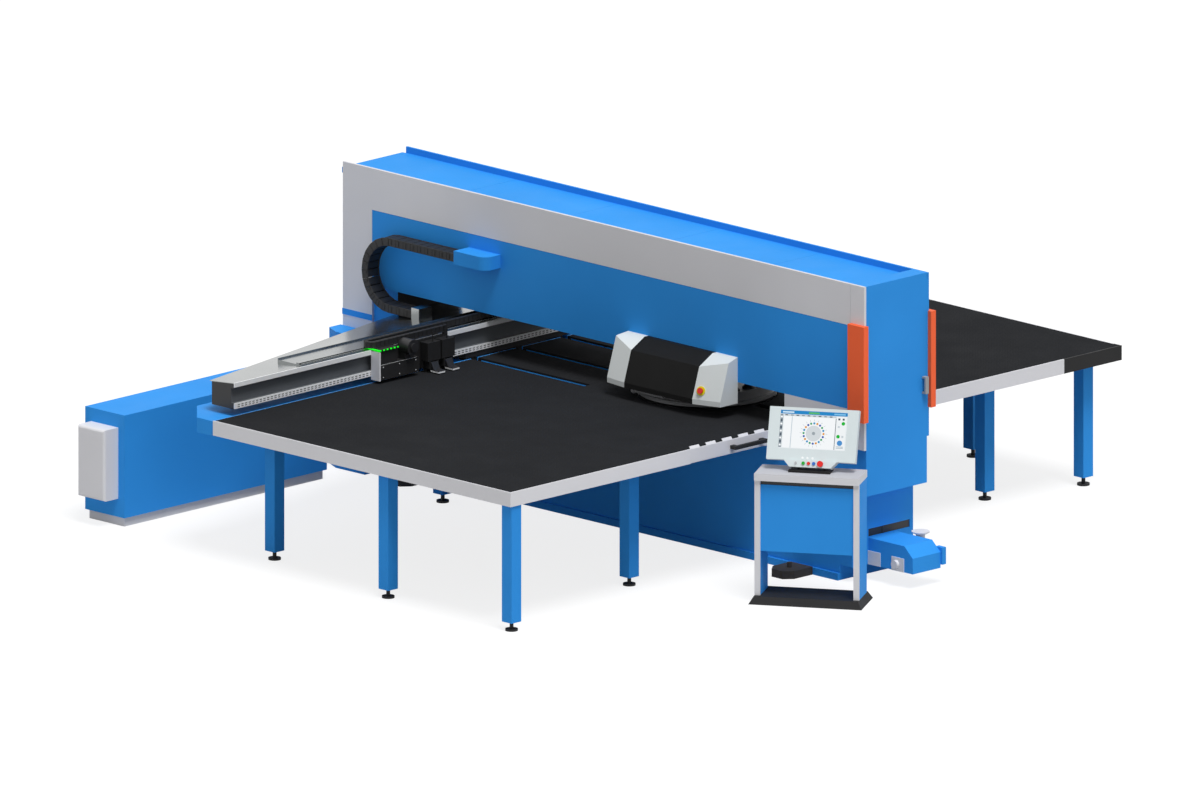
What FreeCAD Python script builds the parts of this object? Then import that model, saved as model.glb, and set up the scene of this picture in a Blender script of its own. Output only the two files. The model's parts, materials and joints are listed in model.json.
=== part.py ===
import FreeCAD, Part
import Sketcher
import math
import os
import re

# A CNC turret punch press of the 1.5 m x 4 m sheet class, in millimetres.
# Frame: +X along the bridge (to the right, seen from the operator's side), +Y away from the operator,
# +Z up. The origin is on the floor, under the middle of the bridge.

V = FreeCAD.Vector

# ---------------------------------------------------------------- driving sizes

SIZES = {
    # bridge: a welded O-frame with a throat, and the sheets that dress it
    "frame_length": 4580,
    "frame_depth": 562,
    "frame_height": 1940,
    "frame_wall": 40,
    "throat_left": -1928,
    "throat_right": 1702,
    "throat_bottom": 800,
    "throat_top": 1245,
    "flange_length": 4346,
    "flange_height": 48,
    "fascia_length": 4836,
    "fascia_plate": 19,
    "fascia_bottom": 918,
    "fascia_top": 2023,
    "corner_width": 130,
    "seam": 2,
    "panel_left": -2147,
    "panel_right": 2267,
    "fascia_band": 279,
    "panel_bottom": 1230,
    "panel_low_bottom": 1177,
    "panel_step": 700,
    "column_left": 1679,
    "cover_height": 38,
    "cover_sheet": 4,
    "cover_overhang": 26,
    "cover_first_seam": -1393,
    "cover_pitch": 942,
    "rail_height": 42,
    "rail_thick": 15,
    "end_box_bottom": 605,
    "band_bottom": 994,
    "band_height": 40,
    "band_thick": 3,
    "pedestal_width": 390,
    "pedestal_overhang": 20,
    "pedestal_top": 919,
    "pedestal_front_depth": 165,
    "pedestal_rear_depth": 290,
    "pedestal_corner": 60,
    # floor pads in front of and behind the bridge
    "pad_length": 200,
    "pad_depth": 230,
    "pad_height": 54,
    "pad_right": 1840,
    "pad_left": -1708,
    "pad_bolt_radius": 15,
    "pad_bolt_height": 34,
    "pad_nose": 60,
    # light guards at the right corners, and the grab handles
    "guard_width": 151,
    "guard_proud": 34,
    "guard_side": 30,
    "guard_return": 44,
    "guard_bottom": 1113,
    "guard_top": 1762,
    "door_handle_y": 235,
    "door_handle_bottom": 1213,
    "door_handle_height": 115,
    "door_handle_width": 30,
    "door_handle_proud": 34,
    "handle_bar": 12,
    # punching head: turrets, tools and ram
    "turret_x": 662,
    "turret_radius": 455,
    "station_count": 20,
    "station_radius": 380,
    "station_bore": 34,
    "spindle_radius": 90,
    "spindle_flange": 130,
    "spindle_plate": 6,
    "run_gap": 0.05,
    "seat_gap": 0.3,
    "lower_sink": 1,
    "lower_thick": 89,
    "sheet_gap": 16,
    "upper_rim": 24,
    "upper_thick": 84,
    "upper_step": 23,
    "tool_head_proud": 8,
    "tool_head_height": 35,
    "tool_cap_height": 12,
    "tool_cap_radius": 25,
    "tool_lift": 2,
    "die_hole": 12,
    "ram_radius": 40,
    "ram_face_radius": 32,
    "ram_face_height": 20,
    "ram_rest_gap": 27,
    "ram_top_gap": 5,
    "ram_housing_width": 150,
    "ram_housing_height": 95,
    "drive_size": 300,
    "drive_base": 150,
    "drive_can_radius": 108,
    "drive_can_height": 230,
    "drive_shift": 60,
    # sheet cover over the turret
    "hood_reach_left": 246,
    "hood_reach_right": 386,
    "hood_end_width_left": 184,
    "hood_end_width_right": 197,
    "hood_bottom": 1034,
    "hood_step": 34,
    "hood_front": 524,
    "hood_brow_y": 459,
    "hood_brow_z": 1276,
    "hood_top_y": 335,
    "hood_top_z": 1345,
    "hood_left_back": 26,
    "hood_right_back": 63,
    "hood_left_knee": 1335,
    "hood_right_knee": 1318,
    "hood_sheet": 5,
    "grip_inset": 36,
    "grip_length": 280,
    "grip_set_back": 54,
    "grip_drop": 20,
    "grip_bar": 12,
    "grip_stay": 8,
    "grip_knob": 21,
    "grip_pad": 5,
    "hood_stop_along": 0.244,
    "hood_stop_up": 0.272,
    "collar_radius": 30,
    "collar_height": 4,
    # table: two brush decks with slots for the beam's posts
    "table_left": -1088,
    "table_right": 1672,
    "table_half": 2830,
    "pass_height": 950,
    "edge_height": 98,
    "edge_thick": 10,
    "deck_thick": 30,
    "deck_gap": 30,
    "slot_mid": 415,
    "slot_width": 60,
    "slot_end": -35,
    "turret_clear": 7,
    "tube_width": 30,
    "tube_height": 60,
    "tube_end": 490,
    "support_mid": 200,
    "support_width": 60,
    "support_clear": 40,
    "side_width": 390,
    "side_height": 100,
    "side_top": 940,
    "side_chamfer": 222,
    "side_gap": 480,
    "side_end_inset": 20,
    "leg_size": 90,
    "leg_wall": 4,
    "leg_bottom": 60,
    "foot_radius": 42,
    "foot_height": 14,
    "stem_radius": 13,
    "guide_left": -1260,
    "guide_height": 40,
    "guide_width": 50,
    "guide_bracket_inset": 40,
    "guide_bracket_length": 120,
    "guide_bracket_height": 60,
    "row_left_inset": 244,
    "row_middle_inset": 1503,
    "row_inner_inset": 381,
    "row_front_right_inset": 55,
    "row_rear_right_inset": 202,
    "end_left_inset": 328,
    "end_middle_inset": 123,
    "end_front_right_inset": 65,
    "end_rear_right_inset": 154,
    "inner_front_leg": 1350,
    "inner_rear_leg": 1942,
    "side_leg_inset": 142,
    "side_leg_set_back": 80,
    # drop flap in the table's right edge
    "flap_front": -1163,
    "flap_back": -475,
    "flap_side_gap": 0.5,
    "hinge_pin": 3,
    "hinge_wall": 1.7,
    "hinge_rise": 6,
    "tab_count": 5,
    "tab_length": 88,
    "tab_pitch": 150,
    "tab_thick": 4,
    "tab_rise": 17,
    "tab_lean": 12,
    "flap_handle_length": 300,
    "flap_handle_back": 22,
    "flap_handle_proud": 52,
    "flap_handle_bar": 24,
    "flap_handle_foot": 36,
    # beam that carries the clamps, along Y
    "beam_width": 212,
    "beam_half": 2628,
    "beam_clear": 40,
    "beam_height": 178,
    "beam_recess": 26,
    "beam_lip": 40,
    "beam_slope": 5.14,
    "rail_bar": 8,
    "rail_low_rise": 3,
    "rail_low_height": 37,
    "rail_top_height": 30,
    "cover_left_front": -1318,
    "cover_left_mid": -1903,
    "cover_taper_end": 228,
    "cover_thick": 4,
    "web_inset": 34,
    "web_rise": 52,
    "web_end": 328,
    "post_width": 120,
    "post_inset": 30,
    "post_thick": 40,
    "skirt_half": 480,
    "skirt_thick": 6,
    "skirt_gap": 5,
    # energy chain in front of the fascia
    "chain_y": -444,
    "chain_width": 120,
    "chain_thick": 55,
    "chain_bend_x": -1852,
    "chain_sink": 45,
    "chain_bend_radius": 253,
    "chain_notch": 5,
    "chain_notch_depth": 4,
    "chain_top_links": 13,
    "chain_bend_links": 17,
    "chain_low_links": 5,
    "bracket_left": -1246,
    "bracket_length": 291,
    "bracket_drop": 69,
    "bracket_rise": 21,
    "bracket_round": 70,
    "clamp_left": -1638,
    "clamp_length": 70,
    "clamp_height": 75,
    # energy chain on the beam
    "tray_set_back": 34,
    "tray_width": 219,
    "tray_front": -1978,
    "tray_back": 820,
    "tray_rise": 1,
    "tray_height": 10,
    "tray_sheet": 3,
    "small_chain_width": 45,
    "small_chain_thick": 28,
    "small_float": 1,
    "small_side_gap": 1,
    "small_bend_y": -1334,
    "small_bend_radius": 50,
    "small_end_inset": 20,
    "small_chain_moving": -708,
    "small_low_links": 36,
    "small_top_links": 11,
    "small_bend_links": 3,
    # carriage
    "carriage_front": -1366,
    "carriage_back": -681,
    "carriage_gap": 0.3,
    "carriage_plate": 20,
    "carriage_drop": 15,
    "carriage_low": 3,
    "end_plate_width": 78,
    "end_plate_thick": 12,
    "end_plate_drop": 4,
    "low_body_length": 354,
    "low_body_height": 103,
    "high_body_inset": 14,
    "lamp_length": 178,
    "lamp_reach": 30,
    "lamp_height": 8,
    "lamp_foot_height": 6,
    "motor_set_back": 276,
    "motor_drop": 5,
    "motor_radius": 52,
    "motor_length": 96,
    "motor_cap_radius": 29,
    "motor_cap_length": 15,
    "gear_width": 76,
    "arm_depth": 27,
    # two sheet clamps
    "clamp_first": 251,
    "clamp_pitch": 132,
    "clamp_width": 118,
    "clamp_reach": 72,
    "clamp_block_height": 124,
    "clamp_back_thick": 16,
    "cheek_thick": 10,
    "cheek_drop": 34,
    "jaw_pin_reach": 58,
    "jaw_pin_rise": 54,
    "jaw_pin_radius": 9,
    "jaw_room": 20,
    "jaw_length": 86,
    "jaw_width": 60,
    "jaw_thick": 12,
    "jaw_heel": 16,
    "jaw_knee": 40,
    "jaw_swell": 6,
    "jaw_gap": 2,
    "anvil_rise": 6,
    "anvil_thick": 5,
    "anvil_web": 12,
    "rod_radius": 4,
    "rod_height": 68,
    "rod_inset": 14,
    # electrical cabinet at the left
    "cabinet_left": -2513,
    "cabinet_right": -2148,
    "cabinet_front": -2590,
    "cabinet_back": -716,
    "cabinet_top": 756,
    "plinth_height": 62,
    "plinth_inset": 20,
    "cooler_left": -2456,
    "cooler_right": -2206,
    "cooler_depth": 130,
    "cooler_bottom": 185,
    "cooler_top": 665,
    "cooler_round": 18,
    # slug conveyor at the right end
    "conveyor_right": 2701,
    "conveyor_front": -133,
    "conveyor_back": 125,
    "conveyor_bottom": 105,
    "conveyor_top": 282,
    "conveyor_slope_x": 78,
    "conveyor_slope_z": 71,
    "slug_slot_top": 340,
    "slug_slot_depth": 8,
    "slug_slot_back": 250,
    "plate_width": 113,
    "plate_height": 92,
    "plate_thick": 6,
    "second_plate": 2509,
    "knob_radius": 28,
    "knob_length": 22,
    "knob_along": 45,
    "hopper_x": 2454,
    "hopper_y": 186,
    "hopper_top": 300,
    "hopper_radius": 60,
    "hopper_neck": 30,
    "hopper_height": 70,
    "hopper_lip": 8,
    "hopper_cone": 16,
    "hopper_stay": 18,
    "drive_block": 65,
    "drive_block_depth": 35,
    "drive_block_reach": 16,
    "drive_block_bottom": 128,
    "drive_block_top": 243,
    # operator console
    "console_x": 2438,
    "console_y": -816,
    "console_yaw": 32.6,
    "base_width": 760,
    "base_depth": 355,
    "base_height": 50,
    "base_slope": 30,
    "desk_width": 702,
    "desk_depth": 262,
    "desk_top": 874,
    "desk_thick": 48,
    "console_leg_width": 38,
    "console_leg_depth": 235,
    "trim_thick": 14,
    "box_depth": 200,
    "box_bottom": 348,
    "box_top": 796,
    # operator panel on the console's desk
    "panel_tilt": 21.6,
    "pivot_height": 30,
    "pivot_radius": 9,
    "pivot_shaft": 5,
    "pivot_set_back": 47.9,
    "panel_forward": 60,
    "panel_foot_width": 280,
    "panel_foot_front": -50,
    "panel_foot_back": 66,
    "panel_foot_plate": 6,
    "panel_foot_nose": 40,
    "panel_foot_nose_height": 14,
    "ear_inside": 82,
    "ear_thick": 12,
    "ear_gap": 1,
    "lug_width": 18,
    "lug_top": 60,
    "bezel_width": 598,
    "bezel_height": 349,
    "bezel_thick": 46,
    "bezel_low": 21.4,
    "screen_width": 448,
    "screen_height": 252,
    "screen_low": 76,
    "screen_thick": 3,
    "screen_inset": 2,
    "box_top_width": 360,
    "box_low_width": 277,
    "box_rise": 46,
    "box_thick": 60,
    "box_proud": 16,
    "button_radius": 11,
    "button_length": 14,
    "button_proud": 7,
    "button_guide": 0.3,
    "button_line": 26,
    "button_socket": 12,
    "estop_radius": 20,
    "estop_stem": 10,
    "estop_head": 10,
    "estop_lift": 6,
    "key_x": -96,
    "green_x": -44,
    "red_x": -9,
    "blue_x": 26,
    "stop_x": 70,
    "key_radius": 9,
    "key_proud": 3,
    "key_bow": 15,
    "key_thick": 3,
    "pane_gap": 0.2,
}

# Leg centres under the table, as formulas: the rows follow the table's edges.
LEGS = {
    "front_left": ("table_left + row_left_inset", "-table_half + end_left_inset"),
    "front_middle": ("table_left + row_middle_inset", "-table_half + end_middle_inset"),
    "front_right": ("table_right - row_front_right_inset", "-table_half + end_front_right_inset"),
    "front_inner": ("table_right - row_inner_inset", "-inner_front_leg"),
    "side_front": ("table_left - side_leg_set_back", "-side_gap - side_leg_inset"),
    "rear_left": ("table_left + row_left_inset", "table_half - end_left_inset"),
    "rear_middle": ("table_left + row_middle_inset", "table_half - end_middle_inset"),
    "rear_right": ("table_right - row_rear_right_inset", "table_half - end_rear_right_inset"),
    "rear_inner": ("table_right - row_inner_inset", "inner_rear_leg"),
    "side_rear": ("table_left - side_leg_set_back", "side_gap + side_leg_inset"),
}

# Sizes that follow from the driving ones, as formulas in the same names.
DERIVED = {
    "frame_half": "frame_length / 2",
    "frame_front": "-frame_depth / 2",
    "frame_back": "frame_depth / 2",
    "fascia_half": "fascia_length / 2",
    "panel_top": "fascia_top - fascia_band",
    "foot_right": "flange_length / 2",
    "fascia_front": "-frame_depth / 2 - fascia_plate",
    "fascia_rear": "frame_depth / 2 + fascia_plate",
    "cover_top": "frame_height + cover_height",
    "lower_top": "pass_height - lower_sink",
    "lower_bottom": "lower_top - lower_thick",
    "upper_bottom": "pass_height + sheet_gap",
    "upper_top": "upper_bottom + upper_thick",
    "tool_top": "upper_top + tool_head_height",
    "ram_x": "turret_x - station_radius",
    "ram_bottom": "tool_top + ram_rest_gap",
    "hood_left": "turret_x - hood_reach_left",
    "hood_right": "turret_x + hood_reach_right",
    "hood_end_left": "hood_left - hood_end_width_left",
    "hood_end_right": "hood_right + hood_end_width_right",
    "hood_face": "hood_bottom + hood_step",
    "hood_lean": "hood_front - hood_brow_y",
    "hood_slant": "hood_lean / (hood_brow_z - hood_face)",
    "hood_turn": "atan(hood_right_back / hood_end_width_right)",
    "grip_left": "hood_left + grip_inset",
    "grip_right": "grip_left + grip_length",
    "grip_y": "hood_front - grip_set_back",
    "grip_z": "hood_bottom - grip_drop",
    "edge_bottom": "pass_height - edge_height",
    "deck_bottom": "pass_height - deck_thick",
    "tube_bottom": "deck_bottom - tube_height",
    "edge_in_left": "table_left + edge_thick",
    "edge_in_right": "table_right - edge_thick",
    "pin_x": "table_right - edge_thick / 2",
    "pin_z": "edge_bottom + hinge_rise",
    "beam_bottom": "pass_height + beam_clear",
    "beam_top": "beam_bottom + beam_height",
    "beam_left": "table_left - beam_width",
    "rail_face": "table_left",
    "post_right": "rail_face - post_inset",
    "chain_low": "beam_top - chain_sink",
    "chain_bend_z": "chain_low + chain_bend_radius",
    "chain_high": "chain_low + 2 * chain_bend_radius",
    "bracket_right": "bracket_left + bracket_length",
    "clamp_right": "clamp_left + clamp_length",
    "tray_right": "rail_face - tray_set_back",
    "tray_left": "tray_right - tray_width",
    "tray_floor": "beam_top + tray_rise",
    "tray_top": "tray_floor + tray_height",
    "small_end": "tray_back - small_end_inset",
    "carriage_x": "rail_face + carriage_gap",
    "carriage_face": "carriage_x + carriage_plate",
    "carriage_bottom": "beam_bottom - carriage_drop",
    "carriage_top": "beam_top - carriage_low",
    "low_body_top": "carriage_bottom + low_body_height",
    "lamp_back": "carriage_front + lamp_length",
    "lamp_low": "carriage_top + lamp_foot_height",
    "small_low": "lamp_low + lamp_height + small_float",
    "small_high": "small_low + small_chain_width",
    "small_right": "carriage_face - small_side_gap",
    "small_bend_x": "small_right - small_bend_radius",
    "small_left": "small_bend_x - small_bend_radius",
    "motor_y": "carriage_front + motor_set_back",
    "motor_z": "carriage_top - motor_drop",
    "anvil_top": "pass_height + anvil_rise",
    "jaw_pin_x": "carriage_face + jaw_pin_reach",
    "jaw_pin_z": "anvil_top + jaw_pin_rise",
    "jaw_roof": "jaw_pin_z + jaw_room",
    "jaw_half": "jaw_width / 2",
    "clamp_roof": "jaw_roof + clamp_block_height",
    "desk_under": "desk_top - desk_thick",
    "box_width": "desk_width - 2 * console_leg_width",
    "bezel_front": "-panel_forward",
    "bezel_back": "-panel_forward + bezel_thick",
    "box_front": "bezel_front - box_proud",
    "box_low": "bezel_low - box_rise",
    "button_z": "box_low + button_line",
}

doc = FreeCAD.newDocument("turret_punch_press")
sheet = doc.addObject("Spreadsheet::Sheet", "Sizes")
for row, (alias, size) in enumerate(SIZES.items(), start=1):
    sheet.set("A%d" % row, alias)
    sheet.set("B%d" % row, str(size))
    sheet.setAlias("B%d" % row, alias)
doc.recompute()

NODES = []


# ---------------------------------------------------------------- helpers

def formula(text):
    """A formula in plain names, rewritten so that it reads the sheet's cells."""
    def swap(match):
        name = match.group(0)
        if name in SIZES:
            return "Sizes." + name
        if name in DERIVED:
            return "(" + formula(DERIVED[name]) + ")"
        return name
    return re.sub(r"[A-Za-z_][A-Za-z_0-9]*", swap, str(text))


def bind(item, prop, text):
    item.setExpression(prop, formula(text))


def move_to(item, place, yaw="0", pitch="0", roll="0"):
    """Bind a placement: a point, then turns about X, Y and Z."""
    x, y, z = (formula(part) for part in place)
    item.setExpression(
        "Placement",
        "create(<<placement>>; create(<<vector>>; %s; %s; %s); create(<<rotation>>; %s; %s; %s))"
        % (x, y, z, formula(yaw), formula(pitch), formula(roll)))


def placed(name, item, place, yaw="0", pitch="0", roll="0"):
    """The item at a bound place, under a name of its own."""
    holder = group(name, [item])
    move_to(holder, place, yaw, pitch, roll)
    return holder


def node(item, label):
    """Name a finished sub-part; the label names its file."""
    item.Label = label
    NODES.append(item)
    return item


def box(name, low, size):
    """A block from its lowest corner and its size, each three formulas."""
    item = doc.addObject("Part::Box", name)
    for prop, text in zip(("Length", "Width", "Height"), size):
        bind(item, prop, text)
    for axis, text in zip("xyz", low):
        bind(item, "Placement.Base." + axis, text)
    return item


def slab(name, low, high):
    """A block between two corners."""
    return box(name, low, ["(%s) - (%s)" % (b, a) for a, b in zip(low, high)])


TURNS = {
    "x": FreeCAD.Rotation(V(0, 1, 0), 90),
    "y": FreeCAD.Rotation(V(1, 0, 0), -90),
    "z": FreeCAD.Rotation(),
}


def rod(name, start, radius, length, axis="z"):
    """A round bar from the centre of its first face, along one axis."""
    item = doc.addObject("Part::Cylinder", name)
    item.Placement = FreeCAD.Placement(V(0, 0, 0), TURNS[axis])
    bind(item, "Radius", radius)
    bind(item, "Height", length)
    for letter, text in zip("xyz", start):
        bind(item, "Placement.Base." + letter, text)
    return item


def fuse(name, items):
    item = doc.addObject("Part::MultiFuse", name)
    item.Shapes = items
    return item


def cut(name, base, tools):
    """Take the tools away from the base."""
    item = doc.addObject("Part::Cut", name)
    item.Base = base
    item.Tool = tools[0] if len(tools) == 1 else fuse(name + "_tools", tools)
    return item


def group(name, items):
    """Several separate solids under one name."""
    item = doc.addObject("Part::Compound", name)
    item.Links = items
    return item


def common(name, first, second):
    item = doc.addObject("Part::Common", name)
    item.Base = first
    item.Tool = second
    return item


def origin_part(body, role):
    """One of the body's own planes or axes."""
    return [part for part in body.Origin.OriginFeatures if part.Role == role][0]


def outline(body, name, plane, points, offset="0"):
    """A closed polygon on one of the body's own planes; each corner is held by two formulas."""
    sketch = body.newObject("Sketcher::SketchObject", name)
    sketch.AttachmentSupport = [(origin_part(body, plane), "")]
    sketch.MapMode = "FlatFace"
    bind(sketch, "AttachmentOffset.Base.z", offset)
    count = len(points)
    start = [V(100 * math.cos(math.tau * i / count), 100 * math.sin(math.tau * i / count), 0)
             for i in range(count)]
    for i in range(count):
        sketch.addGeometry(Part.LineSegment(start[i], start[(i + 1) % count]), False)
    for i in range(count):
        sketch.addConstraint(Sketcher.Constraint("Coincident", i, 2, (i + 1) % count, 1))
    for i, corner in enumerate(points):
        for kind, letter, place in zip(("DistanceX", "DistanceY"), "xy", corner):
            index = sketch.addConstraint(Sketcher.Constraint(kind, -1, 1, i, 1, 1.0))
            sketch.renameConstraint(index, "corner_%s%d" % (letter, i))
            bind(sketch, "Constraints.corner_%s%d" % (letter, i), place)
    return sketch


def prism(name, plane, points, low, high):
    """A polygon padded between two stations along the plane's axis (X, Y or Z)."""
    body = doc.addObject("PartDesign::Body", name)
    offset = "-(%s)" % high if plane == "XZ_Plane" else low
    sketch = outline(body, name + "_outline", plane, points, offset)
    pad = body.newObject("PartDesign::Pad", name + "_pad")
    pad.Profile = sketch
    bind(pad, "Length", "(%s) - (%s)" % (high, low))
    return body


def round_edges(body, name, edges, radius):
    """Round named edges of the body's last feature."""
    last = body.Tip
    fillet = body.newObject("PartDesign::Fillet", name)
    fillet.Base = (last, edges)
    bind(fillet, "Radius", radius)


def turned(name, points):
    """A profile of (radius, z) corners turned about the Z axis."""
    body = doc.addObject("PartDesign::Body", name)
    sketch = outline(body, name + "_outline", "XZ_Plane", points)
    turn = body.newObject("PartDesign::Revolution", name + "_turn")
    turn.Profile = sketch
    turn.ReferenceAxis = (sketch, ["V_Axis"])
    turn.Angle = 360
    return body


# ---------------------------------------------------------------- bridge

def bridge_frame():
    """Hollow O-frame of 40 mm plate: two columns, a lower and an upper beam round the throat."""
    wall = "frame_wall"
    outer = prism("frame_outer", "XZ_Plane", [
        ("-frame_half", "0"), ("foot_right", "0"), ("foot_right", "conveyor_bottom"),
        ("frame_half", "conveyor_bottom"), ("frame_half", "frame_height"),
        ("-frame_half", "frame_height")], "frame_front", "frame_back")
    throat = slab("frame_throat", ("throat_left", "frame_front - 1", "throat_bottom"),
                  ("throat_right", "frame_back + 1", "throat_top"))
    right, floor = "frame_half - " + wall, "conveyor_bottom + " + wall
    inner = prism("frame_inner", "XZ_Plane", [
        ("-frame_half + " + wall, wall), ("foot_right - " + wall, wall), ("foot_right - " + wall, floor),
        (right, floor), (right, "frame_height - " + wall),
        ("-frame_half + " + wall, "frame_height - " + wall)],
        "frame_front + " + wall, "frame_back - " + wall)
    lining = slab("frame_lining", ("throat_left - " + wall, "frame_front - 1", "throat_bottom - " + wall),
                  ("throat_right + " + wall, "frame_back + 1", "throat_top + " + wall))
    chamber = cut("frame_chamber", inner, [lining])
    slug_slot = slab("slug_slot",
                     ("frame_half - slug_slot_depth", "conveyor_front", "conveyor_top + plate_thick"),
                     ("frame_half + 1", "slug_slot_back", "slug_slot_top"))
    shell = cut("frame_shell", outer, [throat, chamber, slug_slot])
    flanges = [slab("flange_front", ("-flange_length / 2", "fascia_front", "0"),
                    ("flange_length / 2", "frame_front", "flange_height")),
               slab("flange_rear", ("-flange_length / 2", "frame_back", "0"),
                    ("flange_length / 2", "fascia_rear", "flange_height"))]
    node(fuse("frame_all", [shell] + flanges), "bridge_frame")


def floor_pads():
    """Four pads with a nose and a jacking bolt, against the bridge's base flange."""
    pads = []
    for side, sign in (("front", "-1"), ("rear", "1")):
        for end, place in (("right", "pad_right"), ("left", "pad_left")):
            near = "%s * fascia_rear" % sign
            far = "%s * (fascia_rear + pad_depth)" % sign
            neck = "%s * (fascia_rear + pad_depth - pad_nose)" % sign
            name = "pad_%s_%s" % (side, end)
            corners = [(place + " - pad_length / 2", near), (place + " + pad_length / 2", near),
                       (place + " + pad_length / 2", neck), (place + " + pad_length / 4", far),
                       (place + " - pad_length / 4", far), (place + " - pad_length / 2", neck)]
            body = prism(name, "XY_Plane", corners, "0", "pad_height")
            bolt = rod(name + "_bolt", (place, "%s * (fascia_rear + pad_depth / 2)" % sign, "pad_height"),
                       "pad_bolt_radius", "pad_bolt_height")
            pads.append(fuse(name + "_all", [body, bolt]))
    node(group("pads", pads), "floor_pads")


def fascia():
    """Front fascia: the grey surround, its right corner plate and the blue panel set into it."""
    corner = "fascia_half - corner_width"
    surround = prism("surround", "XZ_Plane", [
        ("-fascia_half", "fascia_bottom"), ("panel_left", "fascia_bottom"), ("panel_left", "panel_top"),
        ("panel_right", "panel_top"), ("panel_right", "panel_low_bottom"),
        ("column_left", "panel_low_bottom"), ("column_left", "fascia_bottom"),
        (corner, "fascia_bottom"), (corner, "fascia_top"), ("-fascia_half", "fascia_top")],
        "fascia_front", "frame_front")
    plate = slab("corner_plate", (corner + " + seam", "fascia_front", "fascia_bottom"),
                 ("fascia_half", "frame_front", "fascia_top"))
    node(group("surround_plates", [surround, plate]), "fascia_surround")
    node(prism("panel", "XZ_Plane", [
        ("panel_left + seam", "panel_bottom"), ("panel_step", "panel_bottom"),
        ("panel_step", "panel_low_bottom"), ("panel_right - seam", "panel_low_bottom"),
        ("panel_right - seam", "panel_top - seam"), ("panel_left + seam", "panel_top - seam")],
        "fascia_front", "frame_front"), "fascia_panel")


def rear_panel():
    """Rear sheet round the throat, with the rail along its top edge."""
    back = prism("rear_sheet", "XZ_Plane", [
        ("-fascia_half", "fascia_bottom"), ("throat_left", "fascia_bottom"), ("throat_left", "throat_top"),
        ("throat_right", "throat_top"), ("throat_right", "fascia_bottom"),
        ("fascia_half", "fascia_bottom"), ("fascia_half", "cover_top"), ("-fascia_half", "cover_top")],
        "frame_back", "fascia_rear")
    rail = slab("rear_rail", ("-fascia_half", "fascia_rear - rail_thick", "cover_top"),
                ("fascia_half", "fascia_rear", "cover_top + rail_height"))
    node(group("rear_parts", [back, rail]), "rear_panel")


def top_covers():
    """Five folded lids along the bridge's top, open below."""
    seams = ["-fascia_half - cover_overhang"]
    seams += ["cover_first_seam + %d * cover_pitch" % i for i in range(4)]
    seams += ["frame_half"]
    lids = []
    for i in range(5):
        left, right = seams[i], seams[i + 1] + " - seam"
        lid = slab("lid_%d" % i, (left, "frame_front", "frame_height"),
                   (right, "frame_back", "cover_top"))
        hollow = slab("lid_hollow_%d" % i, (left + " + cover_sheet", "frame_front + cover_sheet",
                                            "frame_height - 1"),
                      (right + " - cover_sheet", "frame_back - cover_sheet", "cover_top - cover_sheet"))
        lids.append(cut("lid_shell_%d" % i, lid, [hollow]))
    node(group("lids", lids), "top_covers")


def end_covers():
    """Sheet boxes on both ends of the bridge, and the left column's pedestals and band."""
    parts = []
    for name, near, far, low, high in (
            ("right_cover", "frame_half", "fascia_half", "end_box_bottom", "fascia_top"),
            ("left_cover", "-frame_half", "-fascia_half", "pedestal_top", "frame_height")):
        left, right = (near, far) if name == "right_cover" else (far, near)
        shell = slab(name + "_outer", (left, "frame_front", low), (right, "frame_back", high))
        inside = (near, far + " - cover_sheet") if name == "right_cover" else (far + " + cover_sheet", near)
        reach = ("-1", "0") if name == "right_cover" else ("0", "1")
        hollow = slab(name + "_inner",
                      ("%s + (%s)" % (inside[0], reach[0]), "frame_front + cover_sheet",
                       low + " + cover_sheet"),
                      ("%s + (%s)" % (inside[1], reach[1]), "frame_back - cover_sheet",
                       high + " - cover_sheet"))
        parts.append(cut(name, shell, [hollow]))
    left = "-fascia_half - pedestal_overhang"
    right = "-fascia_half - pedestal_overhang + pedestal_width"
    for side, near, depth in (("front", "-fascia_rear", "-pedestal_front_depth"),
                              ("rear", "fascia_rear", "pedestal_rear_depth")):
        far = "%s + (%s)" % (near, depth)
        shy = "%s + (%s) * (1 - pedestal_corner / abs(%s))" % (near, depth, depth)
        parts.append(prism("pedestal_" + side, "XY_Plane", [
            (left, near), (right, near), (right, far), (left + " + 2 * pedestal_corner", far), (left, shy)],
            "0", "pedestal_top"))
    parts.append(slab("band_front", ("-fascia_half - band_thick", "fascia_front - band_thick",
                                     "band_bottom"),
                      ("panel_left", "fascia_front", "band_bottom + band_height")))
    parts.append(slab("band_side", ("-fascia_half - band_thick", "fascia_front", "band_bottom"),
                      ("-fascia_half", "fascia_rear", "band_bottom + band_height")))
    node(group("column_parts", parts), "end_covers")


def light_guards():
    """Folded guards of the light curtains, round the right front and right rear corners."""
    guards = []
    for side, sign in (("front", "-1"), ("rear", "1")):
        face = "%s * fascia_rear" % sign
        proud = "%s * (fascia_rear + guard_proud)" % sign
        back = "%s * (fascia_rear + guard_proud - guard_return)" % sign
        right = "fascia_half + guard_side"
        left = right + " - guard_width"
        guards.append(prism("guard_" + side, "XY_Plane", [
            (left, proud), (right, proud), (right, back), ("fascia_half", back),
            ("fascia_half", face), (left, face)], "guard_bottom", "guard_top"))
    node(group("guards", guards), "light_guards")


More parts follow.
